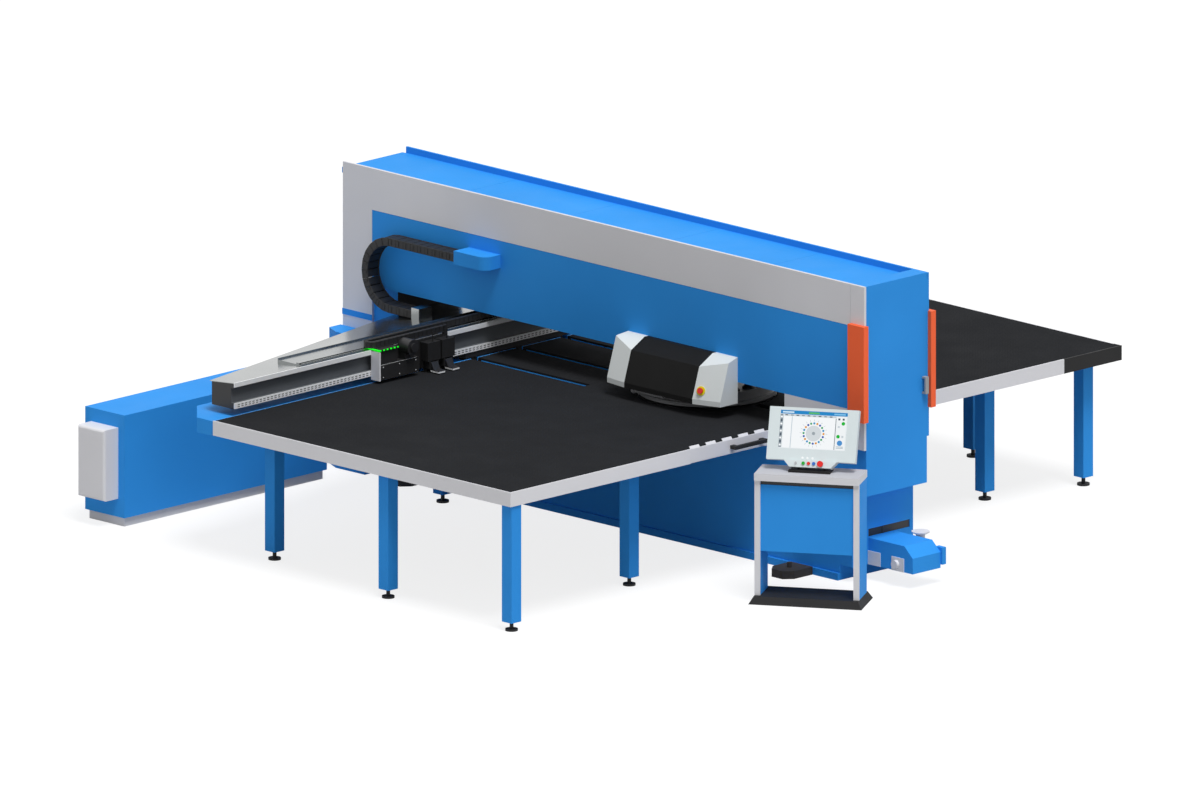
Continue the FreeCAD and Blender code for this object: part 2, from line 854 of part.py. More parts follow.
def grab_handles():
    """The door handle on the right end and the bent grip bar under the turret's hood."""
    low, high = "door_handle_bottom", "door_handle_bottom + door_handle_height"
    side, far = "fascia_half", "fascia_half + door_handle_proud"
    near_y, far_y = "door_handle_y", "door_handle_y + door_handle_width"
    bar = slab("door_bar", (far + " - handle_bar", near_y, low), (far, far_y, high))
    feet = [slab("door_foot_low", (side, near_y, low), (far + " - handle_bar", far_y, low + " + handle_bar")),
            slab("door_foot_high", (side, near_y, high + " - handle_bar"),
                 (far + " - handle_bar", far_y, high))]
    handle = fuse("door_handle", [bar] + feet)
    grip = rod("grip_bar_long", ("grip_left", "-grip_y", "grip_z"), "grip_bar", "grip_length", "x")
    knob = doc.addObject("Part::Sphere", "grip_knob_ball")
    bind(knob, "Radius", "grip_knob")
    for letter, text in zip("xyz", ("grip_left", "-grip_y", "grip_z")):
        bind(knob, "Placement.Base." + letter, text)
    stays, pads = [], []
    for name, place in (("left", "(grip_left + grip_knob)"), ("right", "(grip_right - grip_bar)")):
        stays.append(rod("grip_stay_" + name, (place, "-grip_y", "grip_z"), "grip_stay",
                         "hood_bottom - grip_z"))
        pads.append(slab("grip_pad_" + name,
                         (place + " - grip_bar", "-hood_front + hood_sheet", "hood_bottom"),
                         (place + " + grip_bar", "-grip_y + grip_bar", "hood_bottom + grip_pad")))
    grip_all = fuse("grip_all", [grip, knob] + stays + pads)
    node(group("handles", [handle, grip_all]), "grab_handles")


# ---------------------------------------------------------------- punching head

def turret_mounts():
    """Fixed spindles of both turrets and the ram's housing, all carried by the bridge."""
    shoulder = "upper_top + seat_gap"
    upper = turned("upper_spindle", [
        ("0", "throat_top"), ("0", "upper_bottom - seat_gap - spindle_plate"),
        ("spindle_flange", "upper_bottom - seat_gap - spindle_plate"),
        ("spindle_flange", "upper_bottom - seat_gap"), ("spindle_radius", "upper_bottom - seat_gap"),
        ("spindle_radius", shoulder), ("spindle_flange", shoulder), ("spindle_flange", "throat_top")])
    lower = turned("lower_spindle", [
        ("0", "throat_bottom"), ("spindle_flange", "throat_bottom"),
        ("spindle_flange", "lower_bottom - seat_gap"), ("spindle_radius", "lower_bottom - seat_gap"),
        ("spindle_radius", "lower_top"), ("0", "lower_top")])
    spindles = [placed(item.Name + "_placed", item, ("turret_x", "0", "0")) for item in (upper, lower)]
    half = "ram_housing_width / 2"
    low = "throat_top - ram_housing_height"
    housing = slab("ram_block", ("ram_x - " + half, "-" + half, low), ("ram_x + " + half, half, "throat_top"))
    bore = rod("ram_bore", ("ram_x", "0", low + " - 1"), "ram_radius + run_gap", "ram_housing_height + 2")
    node(group("head_mounts", spindles + [cut("ram_housing", housing, [bore])]), "turret_mounts")


def inner_drives():
    """The ram's drive and the turret's drive, standing on the upper beam's lower plate."""
    floor = "throat_top + frame_wall"
    drives = []
    for name, place in (("ram_drive", "ram_x"), ("turret_drive", "turret_x + drive_shift")):
        base = slab(name + "_base", (place + " - drive_size / 2", "-drive_size / 2", floor),
                    (place + " + drive_size / 2", "drive_size / 2", floor + " + drive_base"))
        can = rod(name + "_can", (place, "0", floor + " + drive_base"), "drive_can_radius",
                  "drive_can_height")
        drives.append(fuse(name, [base, can]))
    node(group("drives", drives), "inner_drives")


def station_bores(body, name, top):
    """A ring of tool bores through a turret disc."""
    sketch = body.newObject("Sketcher::SketchObject", name + "_circle")
    sketch.AttachmentSupport = [(origin_part(body, "XY_Plane"), "")]
    sketch.MapMode = "FlatFace"
    bind(sketch, "AttachmentOffset.Base.z", top)
    sketch.addGeometry(Part.Circle(V(100, 0, 0), V(0, 0, 1), 10), False)
    sketch.addConstraint(Sketcher.Constraint("PointOnObject", 0, 3, -1))
    index = sketch.addConstraint(Sketcher.Constraint("DistanceX", -1, 1, 0, 3, 100.0))
    sketch.renameConstraint(index, "reach")
    bind(sketch, "Constraints.reach", "station_radius")
    index = sketch.addConstraint(Sketcher.Constraint("Radius", 0, 10.0))
    sketch.renameConstraint(index, "bore")
    bind(sketch, "Constraints.bore", "station_bore")
    pocket = body.newObject("PartDesign::Pocket", name + "_bore")
    pocket.Profile = sketch
    pocket.Type = "ThroughAll"
    pattern = body.newObject("PartDesign::PolarPattern", name + "_ring")
    pattern.Originals = [pocket]
    pattern.Axis = (origin_part(body, "Z_Axis"), [""])
    pattern.Angle = 360
    bind(pattern, "Occurrences", "station_count")
    body.Tip = pattern


def ring_of(name, item):
    """Copies of a solid round the turret's axis, one at each station."""
    copies = []
    for i in range(SIZES["station_count"]):
        copies.append(placed("%s_%d" % (name, i), item, ("turret_x", "0", "0"),
                             yaw="360 / station_count * %d" % i))
    return copies


def turrets():
    """Upper turret with its rim and tools, lower turret with its dies."""
    bore = "spindle_radius + run_gap"
    upper = turned("upper_disc", [
        (bore, "upper_bottom"), ("turret_radius", "upper_bottom"),
        ("turret_radius", "upper_bottom + upper_rim"),
        ("turret_radius - upper_step", "upper_bottom + upper_rim"),
        ("turret_radius - upper_step", "upper_top"), (bore, "upper_top")])
    station_bores(upper, "upper", "upper_top")
    node(placed("upper_placed", upper, ("turret_x", "0", "0")), "upper_turret")

    radius = "station_bore - seat_gap"
    tool = turned("tool", [
        ("0", "upper_bottom + tool_lift"), (radius, "upper_bottom + tool_lift"), (radius, "upper_top"),
        ("station_bore + tool_head_proud", "upper_top"),
        ("station_bore + tool_head_proud", "tool_top - tool_cap_height * 2"),
        ("tool_cap_radius", "tool_top - tool_cap_height"), ("tool_cap_radius", "tool_top"),
        ("0", "tool_top")])
    tool_out = placed("tool_out", tool, ("station_radius", "0", "0"))
    node(group("tools", ring_of("tool_copy", tool_out)), "punch_tools")

    lower = turned("lower_disc", [
        (bore, "lower_bottom"), ("turret_radius", "lower_bottom"), ("turret_radius", "lower_top"),
        (bore, "lower_top")])
    station_bores(lower, "lower", "lower_top")
    die = turned("die", [
        ("die_hole", "lower_bottom"), ("station_bore", "lower_bottom"), ("station_bore", "lower_top"),
        ("die_hole", "lower_top")])
    die_out = placed("die_out", die, ("station_radius", "0", "0"))
    lower_placed = placed("lower_placed", lower, ("turret_x", "0", "0"))
    node(group("lower_parts", [lower_placed] + ring_of("die_copy", die_out)), "lower_turret")


def ram():
    """The striker that slides in the ram's housing, with its round face below."""
    node(fuse("ram_all", [
        rod("ram_rod", ("ram_x", "0", "ram_bottom + ram_face_height"), "ram_radius",
            "throat_top - ram_bottom - ram_face_height - ram_top_gap"),
        rod("ram_face", ("ram_x", "0", "ram_bottom"), "ram_face_radius", "ram_face_height")]), "punch_ram")


def hood_profile(set_back, sheet_in="0", knee="hood_brow_z"):
    """Side view of the turret's hood, set back towards the fascia; a hollow runs out below and behind."""
    shift = "%s + %s" % (set_back, sheet_in)
    over = "0" if sheet_in == "0" else "1"
    bottom, back = "hood_bottom - " + over, "fascia_front + " + over
    return [
        (back, bottom), ("-hood_front + " + shift, bottom), ("-hood_front + " + shift, "hood_face"),
        ("-hood_brow_y + %s + hood_slant * (%s - hood_brow_z)" % (shift, knee), "%s - %s" % (knee, sheet_in)),
        ("min(-hood_top_y + %s; fascia_front - seam)" % shift, "hood_top_z - " + sheet_in),
        (back, "hood_top_z - " + sheet_in)]


def lofted(name, plane, stations):
    """A straight-sided solid between outlines on parallel planes."""
    body = doc.addObject("PartDesign::Body", name)
    sketches = [outline(body, "%s_%d" % (name, i), plane, points, place)
                for i, (place, points) in enumerate(stations)]
    loft = body.newObject("PartDesign::AdditiveLoft", name + "_loft")
    loft.Profile = sketches[0]
    loft.Sections = sketches[1:]
    loft.Ruled = True
    return body


def turret_hood():
    """Folded hood over the turret: a dark middle and two grey ends that draw in towards the fascia."""
    wall = "hood_sheet"
    outer = prism("hood_outer", "YZ_Plane", hood_profile("0"), "hood_left", "hood_right")
    inner = prism("hood_inner", "YZ_Plane", hood_profile("0", wall), "hood_left - 1", "hood_right + 1")
    node(cut("hood", outer, [inner]), "turret_hood")

    ends = []
    for side, near, far, back, knee, inward in (
            ("left", "hood_left", "hood_end_left", "hood_left_back", "hood_left_knee", "1"),
            ("right", "hood_right", "hood_end_right", "hood_right_back", "hood_right_knee", "-1")):
        skin = lofted("hood_skin_" + side, "YZ_Plane", [
            (near, hood_profile("0")), (far, hood_profile(back, knee=knee))])
        hollow = lofted("hood_hollow_" + side, "YZ_Plane", [
            ("%s + %s" % (near, inward), hood_profile("0", wall)),
            ("%s + %s * %s" % (far, inward, wall), hood_profile(back, wall, knee))])
        ends.append(cut("hood_end_" + side, skin, [hollow]))
    collar = on_hood("collar", rod("collar_disc", ("0", "-collar_height", "0"), "collar_radius",
                                   "collar_height", "y"))
    passage = on_hood("stop_passage", rod("stop_bore", ("0", "-2 * collar_height", "0"),
                                          "estop_stem + button_guide",
                                          "2 * collar_height + 4 * hood_sheet", "y"))
    right = cut("hood_end_collared", fuse("hood_end_fused", [ends[1], collar]), [passage])
    node(group("hood_ends", [ends[0], right]), "turret_hood_ends")

    lift = "collar_height + estop_lift"
    stop = fuse("hood_stop", [
        rod("hood_stop_stem", ("0", "-(%s)" % lift, "0"), "estop_stem", lift + " + hood_sheet", "y"),
        rod("hood_stop_head", ("0", "-(%s) - estop_head" % lift, "0"), "estop_radius", "estop_head", "y")])
    node(on_hood("hood_stop_placed", stop), "hood_stop_button")


def on_hood(name, item):
    """Place a part drawn with its outer side to -Y on the sloping face of the hood's right end."""
    place = ("hood_right + hood_stop_along * hood_end_width_right",
             "-hood_front + hood_stop_along * hood_right_back + hood_stop_up * hood_lean",
             "hood_face + hood_stop_up * (hood_brow_z - hood_face)")
    lean = "-atan(hood_lean / (hood_brow_z - hood_face) * cos(hood_turn))"
    return placed(name, item, place, yaw="hood_turn", roll=lean)


# ---------------------------------------------------------------- table

def decks():
    """Front and rear brush decks: a slot each for the beam's posts, and the round clearance of the turret."""
    plates = []
    for side, sign, near, far in (("front", "-1", "-table_half + edge_thick", "-deck_gap"),
                                  ("rear", "1", "deck_gap", "table_half - edge_thick")):
        plate = slab("deck_" + side, ("edge_in_left", near, "deck_bottom"),
                     ("edge_in_right", far, "pass_height"))
        mid = "%s * slot_mid" % sign
        slot = slab("slot_" + side, ("edge_in_left - 1", mid + " - slot_width / 2", "deck_bottom - 1"),
                    ("slot_end", mid + " + slot_width / 2", "pass_height + 1"))
        well = rod("well_" + side, ("turret_x", "0", "deck_bottom - 1"), "turret_radius + turret_clear",
                   "deck_thick + 2")
        plates.append(cut("deck_plate_" + side, plate, [slot, well]))
    node(group("deck_plates", plates), "brush_decks")


def table_edge():
    """Edge band round the table, open where the posts pass and where the flap hangs on its pin."""
    low, high = "edge_bottom", "pass_height"
    slot_in, slot_out = "slot_mid - slot_width / 2", "slot_mid + slot_width / 2"
    parts = []
    for i, (start, stop) in enumerate((("-table_half", "-(%s)" % slot_out), ("-(%s)" % slot_in, "-deck_gap"),
                                       ("deck_gap", slot_in), (slot_out, "table_half"))):
        parts.append(slab("edge_left_%d" % i, ("table_left", start, low), ("edge_in_left", stop, high)))
    for i, (start, stop) in enumerate((("-table_half", "flap_front"), ("flap_back", "-deck_gap"),
                                       ("deck_gap", "table_half"))):
        parts.append(slab("edge_right_%d" % i, ("edge_in_right", start, low), ("table_right", stop, high)))
    for i, place in enumerate(("-table_half", "table_half - edge_thick")):
        parts.append(slab("edge_end_%d" % i, ("edge_in_left", place, low),
                          ("edge_in_right", place + " + edge_thick", high)))
    parts.append(rod("flap_pin", ("pin_x", "flap_front", "pin_z"), "hinge_pin", "flap_back - flap_front",
                     "y"))
    node(group("edges", parts), "table_edge")


def table_frame():
    """Bars under the decks, their supports on the bridge, and the brackets of the beam's guides."""
    top = "deck_bottom"
    bars = []
    for side, sign in (("front", -1), ("rear", 1)):
        def along(near, far):
            """A span of Y on this side of the bridge, low end first."""
            return ("-(%s)" % far, "-(%s)" % near) if sign < 0 else (near, far)
        for i, place in enumerate(("table_half - edge_thick - tube_width", "tube_end")):
            low, high = along(place, place + " + tube_width")
            bars.append(slab("bar_%s_cross_%d" % (side, i), ("edge_in_left", low, "tube_bottom"),
                             ("edge_in_right", high, top)))
        low, high = along("tube_end + tube_width", "table_half - edge_thick - tube_width")
        for leg in (side + "_left", side + "_middle", side + "_inner", side + "_right"):
            place = LEGS[leg][0]
            bars.append(slab("bar_" + leg, (place + " - tube_width / 2", low, "tube_bottom"),
                             (place + " + tube_width / 2", high, top)))
        low, high = along("support_mid - support_width / 2", "support_mid + support_width / 2")
        bars.append(slab("support_%s_left" % side, ("edge_in_left", low, "throat_bottom"),
                         ("turret_x - turret_radius - support_clear", high, top)))
        bars.append(slab("support_%s_right" % side, ("turret_x + turret_radius + support_clear", low,
                                                     "throat_bottom"), ("edge_in_right", high, top)))
        low, high = along("frame_back", "slot_mid + guide_width / 2")
        for i in range(3):
            span = "(slot_end - guide_left - guide_bracket_length - 2 * guide_bracket_inset)"
            place = "guide_left + guide_bracket_inset + %d * %s / 2" % (i, span)
            bars.append(slab("guide_bracket_%s_%d" % (side, i),
                             (place, low, "throat_bottom - guide_bracket_height"),
                             (place + " + guide_bracket_length", high, "throat_bottom")))
    node(group("bars", bars), "table_frame")


def table_legs():
    """Square tube legs and their levelling feet."""
    legs, feet = [], []
    for name, (x, y) in LEGS.items():
        x, y = "(%s)" % x, "(%s)" % y
        top = "side_top - side_height" if name.startswith("side") else "tube_bottom"
        tube = slab("leg_" + name, (x + " - leg_size / 2", y + " - leg_size / 2", "leg_bottom"),
                    (x + " + leg_size / 2", y + " + leg_size / 2", top))
        inside = "(leg_size / 2 - leg_wall)"
        hollow = slab("leg_hollow_" + name,
                      ("%s - %s" % (x, inside), "%s - %s" % (y, inside), "leg_bottom + leg_wall"),
                      ("%s + %s" % (x, inside), "%s + %s" % (y, inside), top + " - leg_wall"))
        legs.append(cut("leg_tube_" + name, tube, [hollow]))
        disc = rod("foot_" + name, (x, y, "0"), "foot_radius", "foot_height")
        stem = rod("stem_" + name, (x, y, "foot_height"), "stem_radius", "leg_bottom - foot_height")
        feet.append(fuse("foot_all_" + name, [disc, stem]))
    node(group("legs", legs), "table_legs")
    node(group("feet", feet), "levelling_feet")


def side_beams():
    """Long box ledges on the table's left edge, under the clamp beam, with a cut outer corner."""
    parts = []
    outer = "table_left - side_width"
    for side, sign in (("front", "-1"), ("rear", "1")):
        near, far = "%s * side_gap" % sign, "%s * (table_half - side_end_inset)" % sign
        cut_y = "%s * (table_half - side_end_inset - side_chamfer)" % sign
        parts.append(prism("side_beam_" + side, "XY_Plane", [
            (outer, near), ("table_left", near), ("table_left", far), (outer + " + side_chamfer", far),
            (outer, cut_y)], "side_top - side_height", "side_top"))
    node(group("side_parts", parts), "side_beams")


def guide_rails():
    """Three ground rails along X that carry the beam's posts."""
    rails = []
    for name, mid in (("front", "-slot_mid"), ("middle", "0"), ("rear", "slot_mid")):
        rails.append(slab("guide_" + name, ("guide_left", mid + " - guide_width / 2", "throat_bottom"),
                          ("slot_end", mid + " + guide_width / 2", "throat_bottom + guide_height")))
    node(group("guides", rails), "guide_rails")


def flap():
    """Drop flap in the table's right edge: knuckle, plate and bent stop tabs; and its bar handle."""
    front, back = "flap_front + flap_side_gap", "flap_back - flap_side_gap"
    shell = "hinge_pin + hinge_wall"
    plate = slab("flap_plate", ("edge_in_right + seat_gap", front, "pin_z + %s + 1" % shell),
                 ("table_right", back, "pass_height"))
    web = slab("flap_web", ("pin_x - hinge_pin", front, "pin_z"),
               ("pin_x + hinge_pin", back, "pin_z + %s + 1" % shell))
    knuckle = rod("flap_knuckle", ("pin_x", front, "pin_z"), shell,
                  "flap_back - flap_front - 2 * flap_side_gap", "y")
    tabs = []
    for i in range(SIZES["tab_count"]):
        start = front + " + %d * tab_pitch" % i
        tabs.append(prism("tab_%d" % i, "XZ_Plane", [
            ("table_right - tab_thick", "pass_height"), ("table_right", "pass_height"),
            ("table_right - tab_lean", "pass_height + tab_rise"),
            ("table_right - tab_lean - tab_thick", "pass_height + tab_rise")],
            start, start + " + tab_length"))
    bore = rod("flap_bore", ("pin_x", "flap_front - 1", "pin_z"), "hinge_pin + run_gap",
               "flap_back - flap_front + 2", "y")
    node(cut("flap_all", fuse("flap_solid", [plate, web, knuckle] + tabs), [bore]), "drop_flap")

    half = "flap_handle_bar / 2"
    low, high = "edge_bottom + edge_height / 2 - " + half, "edge_bottom + edge_height / 2 + " + half
    stop = "flap_back - flap_handle_back"
    start = stop + " - flap_handle_length"
    inner = "table_right + flap_handle_proud - flap_handle_bar"
    pieces = [slab("flap_grip", (inner, start, low), ("table_right + flap_handle_proud", stop, high))]
    for i, place in enumerate((start, stop + " - flap_handle_foot")):
        pieces.append(slab("flap_post_%d" % i, ("table_right", place, low),
                           (inner, place + " + flap_handle_foot", high)))
    node(fuse("flap_handle_all", pieces), "flap_handle")


# ---------------------------------------------------------------- beam

def slope(place, drop="0"):
    """Height of the sloping cover's top face at an x, less a drop, as a formula."""
    return "beam_top + ((%s) - rail_face) * tan(beam_slope * 1 deg) - (%s)" % (place, drop)


def beam_body():
    """Extruded beam: a box with a recessed right side between two lips."""
    right = "rail_face - rail_bar"
    node(prism("beam_extrusion", "XZ_Plane", [
        ("beam_left", "beam_bottom"), (right, "beam_bottom"), (right, "beam_bottom + beam_lip"),
        (right + " - beam_recess", "beam_bottom + beam_lip"),
        (right + " - beam_recess", "beam_top - beam_lip"), (right, "beam_top - beam_lip"),
        (right, slope(right, "cover_thick")), ("beam_left", slope("beam_left", "cover_thick"))],
        "-beam_half", "beam_half"), "clamp_beam")


def beam_rails():
    """Linear rails on the beam's right side."""
    left = "rail_face - rail_bar"
    low = slab("rail_low", (left, "-beam_half", "beam_bottom + rail_low_rise"),
               ("rail_face", "beam_half", "beam_bottom + rail_low_rise + rail_low_height"))
    high = slab("rail_high", (left, "-beam_half", "beam_top - rail_top_height"),
                ("rail_face", "beam_half", "beam_top"))
    node(group("rails", [low, high]), "beam_rails")


def beam_cover():
    """Tapered cover that falls away to the left, the small chain's tray and the large chain's clamp."""
    right, left = "rail_face - rail_bar", "cover_left_mid - side_width"
    plan = prism("cover_plan", "XY_Plane", [
        (right, "-beam_half"), (right, "beam_half"), ("cover_left_front", "beam_half"),
        ("cover_left_mid", "cover_taper_end"), ("cover_left_mid", "-cover_taper_end"),
        ("cover_left_front", "-beam_half")], "beam_bottom", "tray_top")
    band = prism("cover_band", "XZ_Plane", [
        ("rail_face", slope("rail_face", "cover_thick")), ("rail_face", slope("rail_face")),
        (left, slope(left)), (left, slope(left, "cover_thick"))], "-beam_half - 10", "beam_half + 10")
    plate = common("cover_plate", plan, band)
    inner = "tray_sheet"
    tray = prism("tray", "XZ_Plane", [
        ("tray_left", slope("tray_left")), ("tray_right", slope("tray_right")), ("tray_right", "tray_top"),
        ("tray_right - " + inner, "tray_top"), ("tray_right - " + inner, "tray_floor"),
        ("tray_left + " + inner, "tray_floor"), ("tray_left + " + inner, "tray_top"),
        ("tray_left", "tray_top")], "tray_front", "tray_back")
    shelf = slab("shelf", ("small_left", "tray_front", "tray_floor"),
                 ("small_left + small_chain_thick", "tray_back", "small_low"))
    clamp = prism("chain_clamp", "XZ_Plane", [
        ("clamp_left", slope("clamp_left")), ("clamp_right", slope("clamp_right")),
        ("clamp_right", "chain_low + clamp_height"), ("clamp_left", "chain_low + clamp_height")],
        "chain_y", "chain_y + chain_width")
    node(group("cover_parts", [plate, fuse("tray_all", [tray, shelf]), clamp]), "beam_cover")


def beam_structure():
    """Web plate under the cover, the posts that go down through the table's slots, and the skirt."""
    left = "cover_left_mid - side_width"
    plan = prism("web_plan", "XY_Plane", [
        ("beam_left", "-(beam_half - web_end)"), ("beam_left", "beam_half - web_end"),
        ("cover_left_mid + web_inset", "cover_taper_end - web_inset"),
        ("cover_left_mid + web_inset", "-cover_taper_end + web_inset")], "beam_bottom + web_rise", "beam_top")
    over = prism("web_over", "XZ_Plane", [
        ("beam_left", slope("beam_left", "cover_thick")), ("beam_left", "beam_top + 20"),
        (left, "beam_top + 20"), (left, slope(left, "cover_thick"))], "-beam_half", "beam_half")
    parts = [cut("web", plan, [over])]
    for name, mid in (("front", "-slot_mid"), ("middle", "0"), ("rear", "slot_mid")):
        parts.append(slab("post_" + name, ("post_right - post_width", mid + " - post_thick / 2",
                                           "throat_bottom + guide_height + seat_gap"),
                          ("post_right", mid + " + post_thick / 2", "beam_bottom")))
    parts.append(slab("skirt",
                      ("rail_face - rail_bar - skirt_thick", "-skirt_half", "pass_height + skirt_gap"),
                      ("rail_face - rail_bar", "skirt_half", "beam_bottom")))
    node(group("structure", parts), "beam_structure")


def notches(body, name, plane, corners, offset, axis, count, length="0", angle=None):
    """A groove between two chain links, repeated along the run or round the bend."""
    sketches = [outline(body, "%s_groove_%d" % (name, i), plane, points, offset)
                for i, points in enumerate(corners)]
    pockets = []
    for i, sketch in enumerate(sketches):
        pocket = body.newObject("PartDesign::Pocket", "%s_cut_%d" % (name, i))
        pocket.Profile = sketch
        pocket.Type = "ThroughAll"
        pockets.append(pocket)
    kind = "PartDesign::LinearPattern" if angle is None else "PartDesign::PolarPattern"
    pattern = body.newObject(kind, name + "_links")
    pattern.Originals = pockets
    if angle is None:
        pattern.Direction = (origin_part(body, axis), [""])
        bind(pattern, "Length", length)
    else:
        pattern.Axis = (origin_part(body, axis), [""])
        bind(pattern, "Angle", angle)
    bind(pattern, "Occurrences", count)
    body.Tip = pattern


def chain_run(name, along, start, stop, low, thick, side, width, links):
    """A straight run of an energy chain along X or Y, grooved between its links above and below."""
    plane = "XZ_Plane" if along == "x" else "YZ_Plane"
    high = "%s + %s" % (low, thick)
    body = prism(name, plane, [(start, low), (stop, low), (stop, high), (start, high)], side,
                 "%s + %s" % (side, width))
    pitch = "((%s) - (%s)) / %s" % (stop, start, links)
    left = "%s + %s - chain_notch / 2" % (start, pitch)
    right = "%s + %s + chain_notch / 2" % (start, pitch)
    pairs = [[(left, low + " - 1"), (right, low + " - 1"), (right, low + " + chain_notch_depth"),
              (left, low + " + chain_notch_depth")],
             [(left, high + " - chain_notch_depth"), (right, high + " - chain_notch_depth"),
              (right, high + " + 1"), (left, high + " + 1")]]
    offset = "-(%s)" % side if along == "x" else "%s + %s" % (side, width)
    notches(body, name, plane, pairs, offset, along.upper() + "_Axis", links + " - 1",
            "%s * (%s - 2)" % (pitch, links))
    return body


def chain_bend(name, radius, thick, width, links):
    """Half a turn of an energy chain about its own Y axis, grooved between its links outside."""
    body = doc.addObject("PartDesign::Body", name)
    ring = outline(body, name + "_section", "XY_Plane", [
        ("%s - %s" % (radius, thick), "0"), (radius, "0"), (radius, width),
        ("%s - %s" % (radius, thick), width)])
    turn = body.newObject("PartDesign::Revolution", name + "_turn")
    turn.Profile = ring
    turn.ReferenceAxis = (ring, ["V_Axis"])
    turn.Angle = 180
    angle = "(90 deg / %s)" % links
    groove = []
    for reach, side in (("(%s - chain_notch_depth)", "-"), ("(%s + 1)", "-"), ("(%s + 1)", "+"),
                        ("(%s - chain_notch_depth)", "+")):
        reach = reach % radius
        groove.append(("%s * cos(%s) %s chain_notch / 2 * sin(%s)" % (reach, angle, side, angle),
                       "-%s * sin(%s) %s chain_notch / 2 * cos(%s)" % (reach, angle, side, angle)))
    notches(body, name, "XZ_Plane", [groove], "0", "Y_Axis", links, angle="180 - 180 / %s" % links)
    return body


def bridge_chain():
    """Energy chain in front of the fascia: fixed run, bend and moving run, and its fixed bracket."""
    node(chain_run("chain_run_top", "x", "chain_bend_x", "bracket_left", "chain_high - chain_thick",
                   "chain_thick", "chain_y", "chain_width", "chain_top_links"), "bridge_chain_top")
    bend = chain_bend("chain_bend", "chain_bend_radius", "chain_thick", "chain_width", "chain_bend_links")
    node(placed("chain_bend_placed", bend, ("chain_bend_x", "chain_y", "chain_bend_z"), pitch="90"),
         "bridge_chain_bend")
    node(chain_run("chain_run_low", "x", "chain_bend_x", "clamp_left", "chain_low", "chain_thick",
                   "chain_y", "chain_width", "chain_low_links"), "bridge_chain_low")
    body = prism("bracket", "XY_Plane", [
        ("bracket_left", "chain_y"), ("bracket_right", "chain_y"), ("bracket_right", "fascia_front"),
        ("bracket_left", "fascia_front")], "chain_high - bracket_drop", "chain_high + bracket_rise")
    doc.recompute()
    upright = [edge for edge in body.Shape.Edges if edge.Vertexes[0].Z != edge.Vertexes[-1].Z]
    corner = max(upright, key=lambda edge: edge.Vertexes[0].X - edge.Vertexes[0].Y)
    name = "Edge%d" % (1 + [edge.isSame(corner) for edge in body.Shape.Edges].index(True))
    round_edges(body, "bracket_rounding", [name], "bracket_round")
    node(body, "chain_bracket")


def flat_run(name, start, stop, left, links):
    """A straight run along Y of the small chain, which lies on its side, grooved left and right."""
    right = left + " + small_chain_thick"
    body = prism(name, "XY_Plane", [(left, start), (right, start), (right, stop), (left, stop)],
                 "small_low", "small_high")
    pitch = "((%s) - (%s)) / %s" % (stop, start, links)
    near = "%s + %s - chain_notch / 2" % (start, pitch)
    far = "%s + %s + chain_notch / 2" % (start, pitch)
    pairs = [[(left + " - 1", near), (left + " + chain_notch_depth", near),
              (left + " + chain_notch_depth", far), (left + " - 1", far)],
             [(right + " - chain_notch_depth", near), (right + " + 1", near),
              (right + " + 1", far), (right + " - chain_notch_depth", far)]]
    notches(body, name, "XY_Plane", pairs, "small_high", "Y_Axis", links + " - 1",
            "%s * (%s - 2)" % (pitch, links))
    return body


def beam_chain():
    """Energy chain on the beam, lying on its side: the run on the tray's shelf, the bend and the run
    over the carriage."""
    node(flat_run("small_run_low", "small_bend_y", "small_end", "small_left", "small_low_links"),
         "beam_chain_low")
    bend = chain_bend("small_bend", "small_bend_radius", "small_chain_thick", "small_chain_width",
                      "small_bend_links")
    node(placed("small_bend_placed", bend, ("small_bend_x", "small_bend_y", "small_high"), roll="-90"),
         "beam_chain_bend")
    node(flat_run("small_run_top", "small_bend_y", "small_chain_moving", "small_right - small_chain_thick",
                  "small_top_links"), "beam_chain_top")


# ---------------------------------------------------------------- carriage

def carriage():
    """Carriage on the beam's right side: back plate, body, end plate, lamp strip and drive."""
    front = "carriage_front + end_plate_thick"
    right = "carriage_x + end_plate_width"
    back_plate = slab("back_plate", ("carriage_x", front, "carriage_bottom"),
                      ("carriage_face", "carriage_back", "carriage_top"))
    low_body = slab("low_body", ("carriage_face", front, "carriage_bottom"),
                    (right, front + " + low_body_length", "low_body_top"))
    high_body = slab("high_body", ("carriage_face", front, "low_body_top"),
                     (right + " - high_body_inset", "lamp_back", "carriage_top"))
    arm_back = "small_chain_moving + arm_depth"
    arm = slab("arm", ("carriage_x", "small_chain_moving", "carriage_top"),
               ("carriage_face", arm_back, "small_high"))
    node(fuse("carriage_all", [back_plate, low_body, high_body, arm]), "carriage_body")
    node(slab("end_plate", ("carriage_x", "carriage_front", "carriage_bottom - end_plate_drop"),
              (right, front, "carriage_top")), "carriage_end_plate")
    node(slab("lamp", ("rail_face - lamp_reach", "carriage_front", "lamp_low"),
              (right, "lamp_back", "lamp_low + lamp_height")), "carriage_lamp")
    lamp_foot = slab("lamp_foot", ("carriage_x", "carriage_front", "carriage_top"),
                     ("carriage_face", "lamp_back", "lamp_low"))
    gear = slab("gear", ("carriage_face", "motor_y - gear_width / 2", "low_body_top"),
                (right, "motor_y + gear_width / 2", "motor_z"))
    motor = rod("motor", ("carriage_face", "motor_y", "motor_z"), "motor_radius", "motor_length", "x")
    cap = rod("motor_cap", ("carriage_face + motor_length", "motor_y", "motor_z"), "motor_cap_radius",
              "motor_cap_length", "x")
    node(group("drive_parts", [fuse("drive", [gear, motor, cap]), lamp_foot]), "carriage_drive")


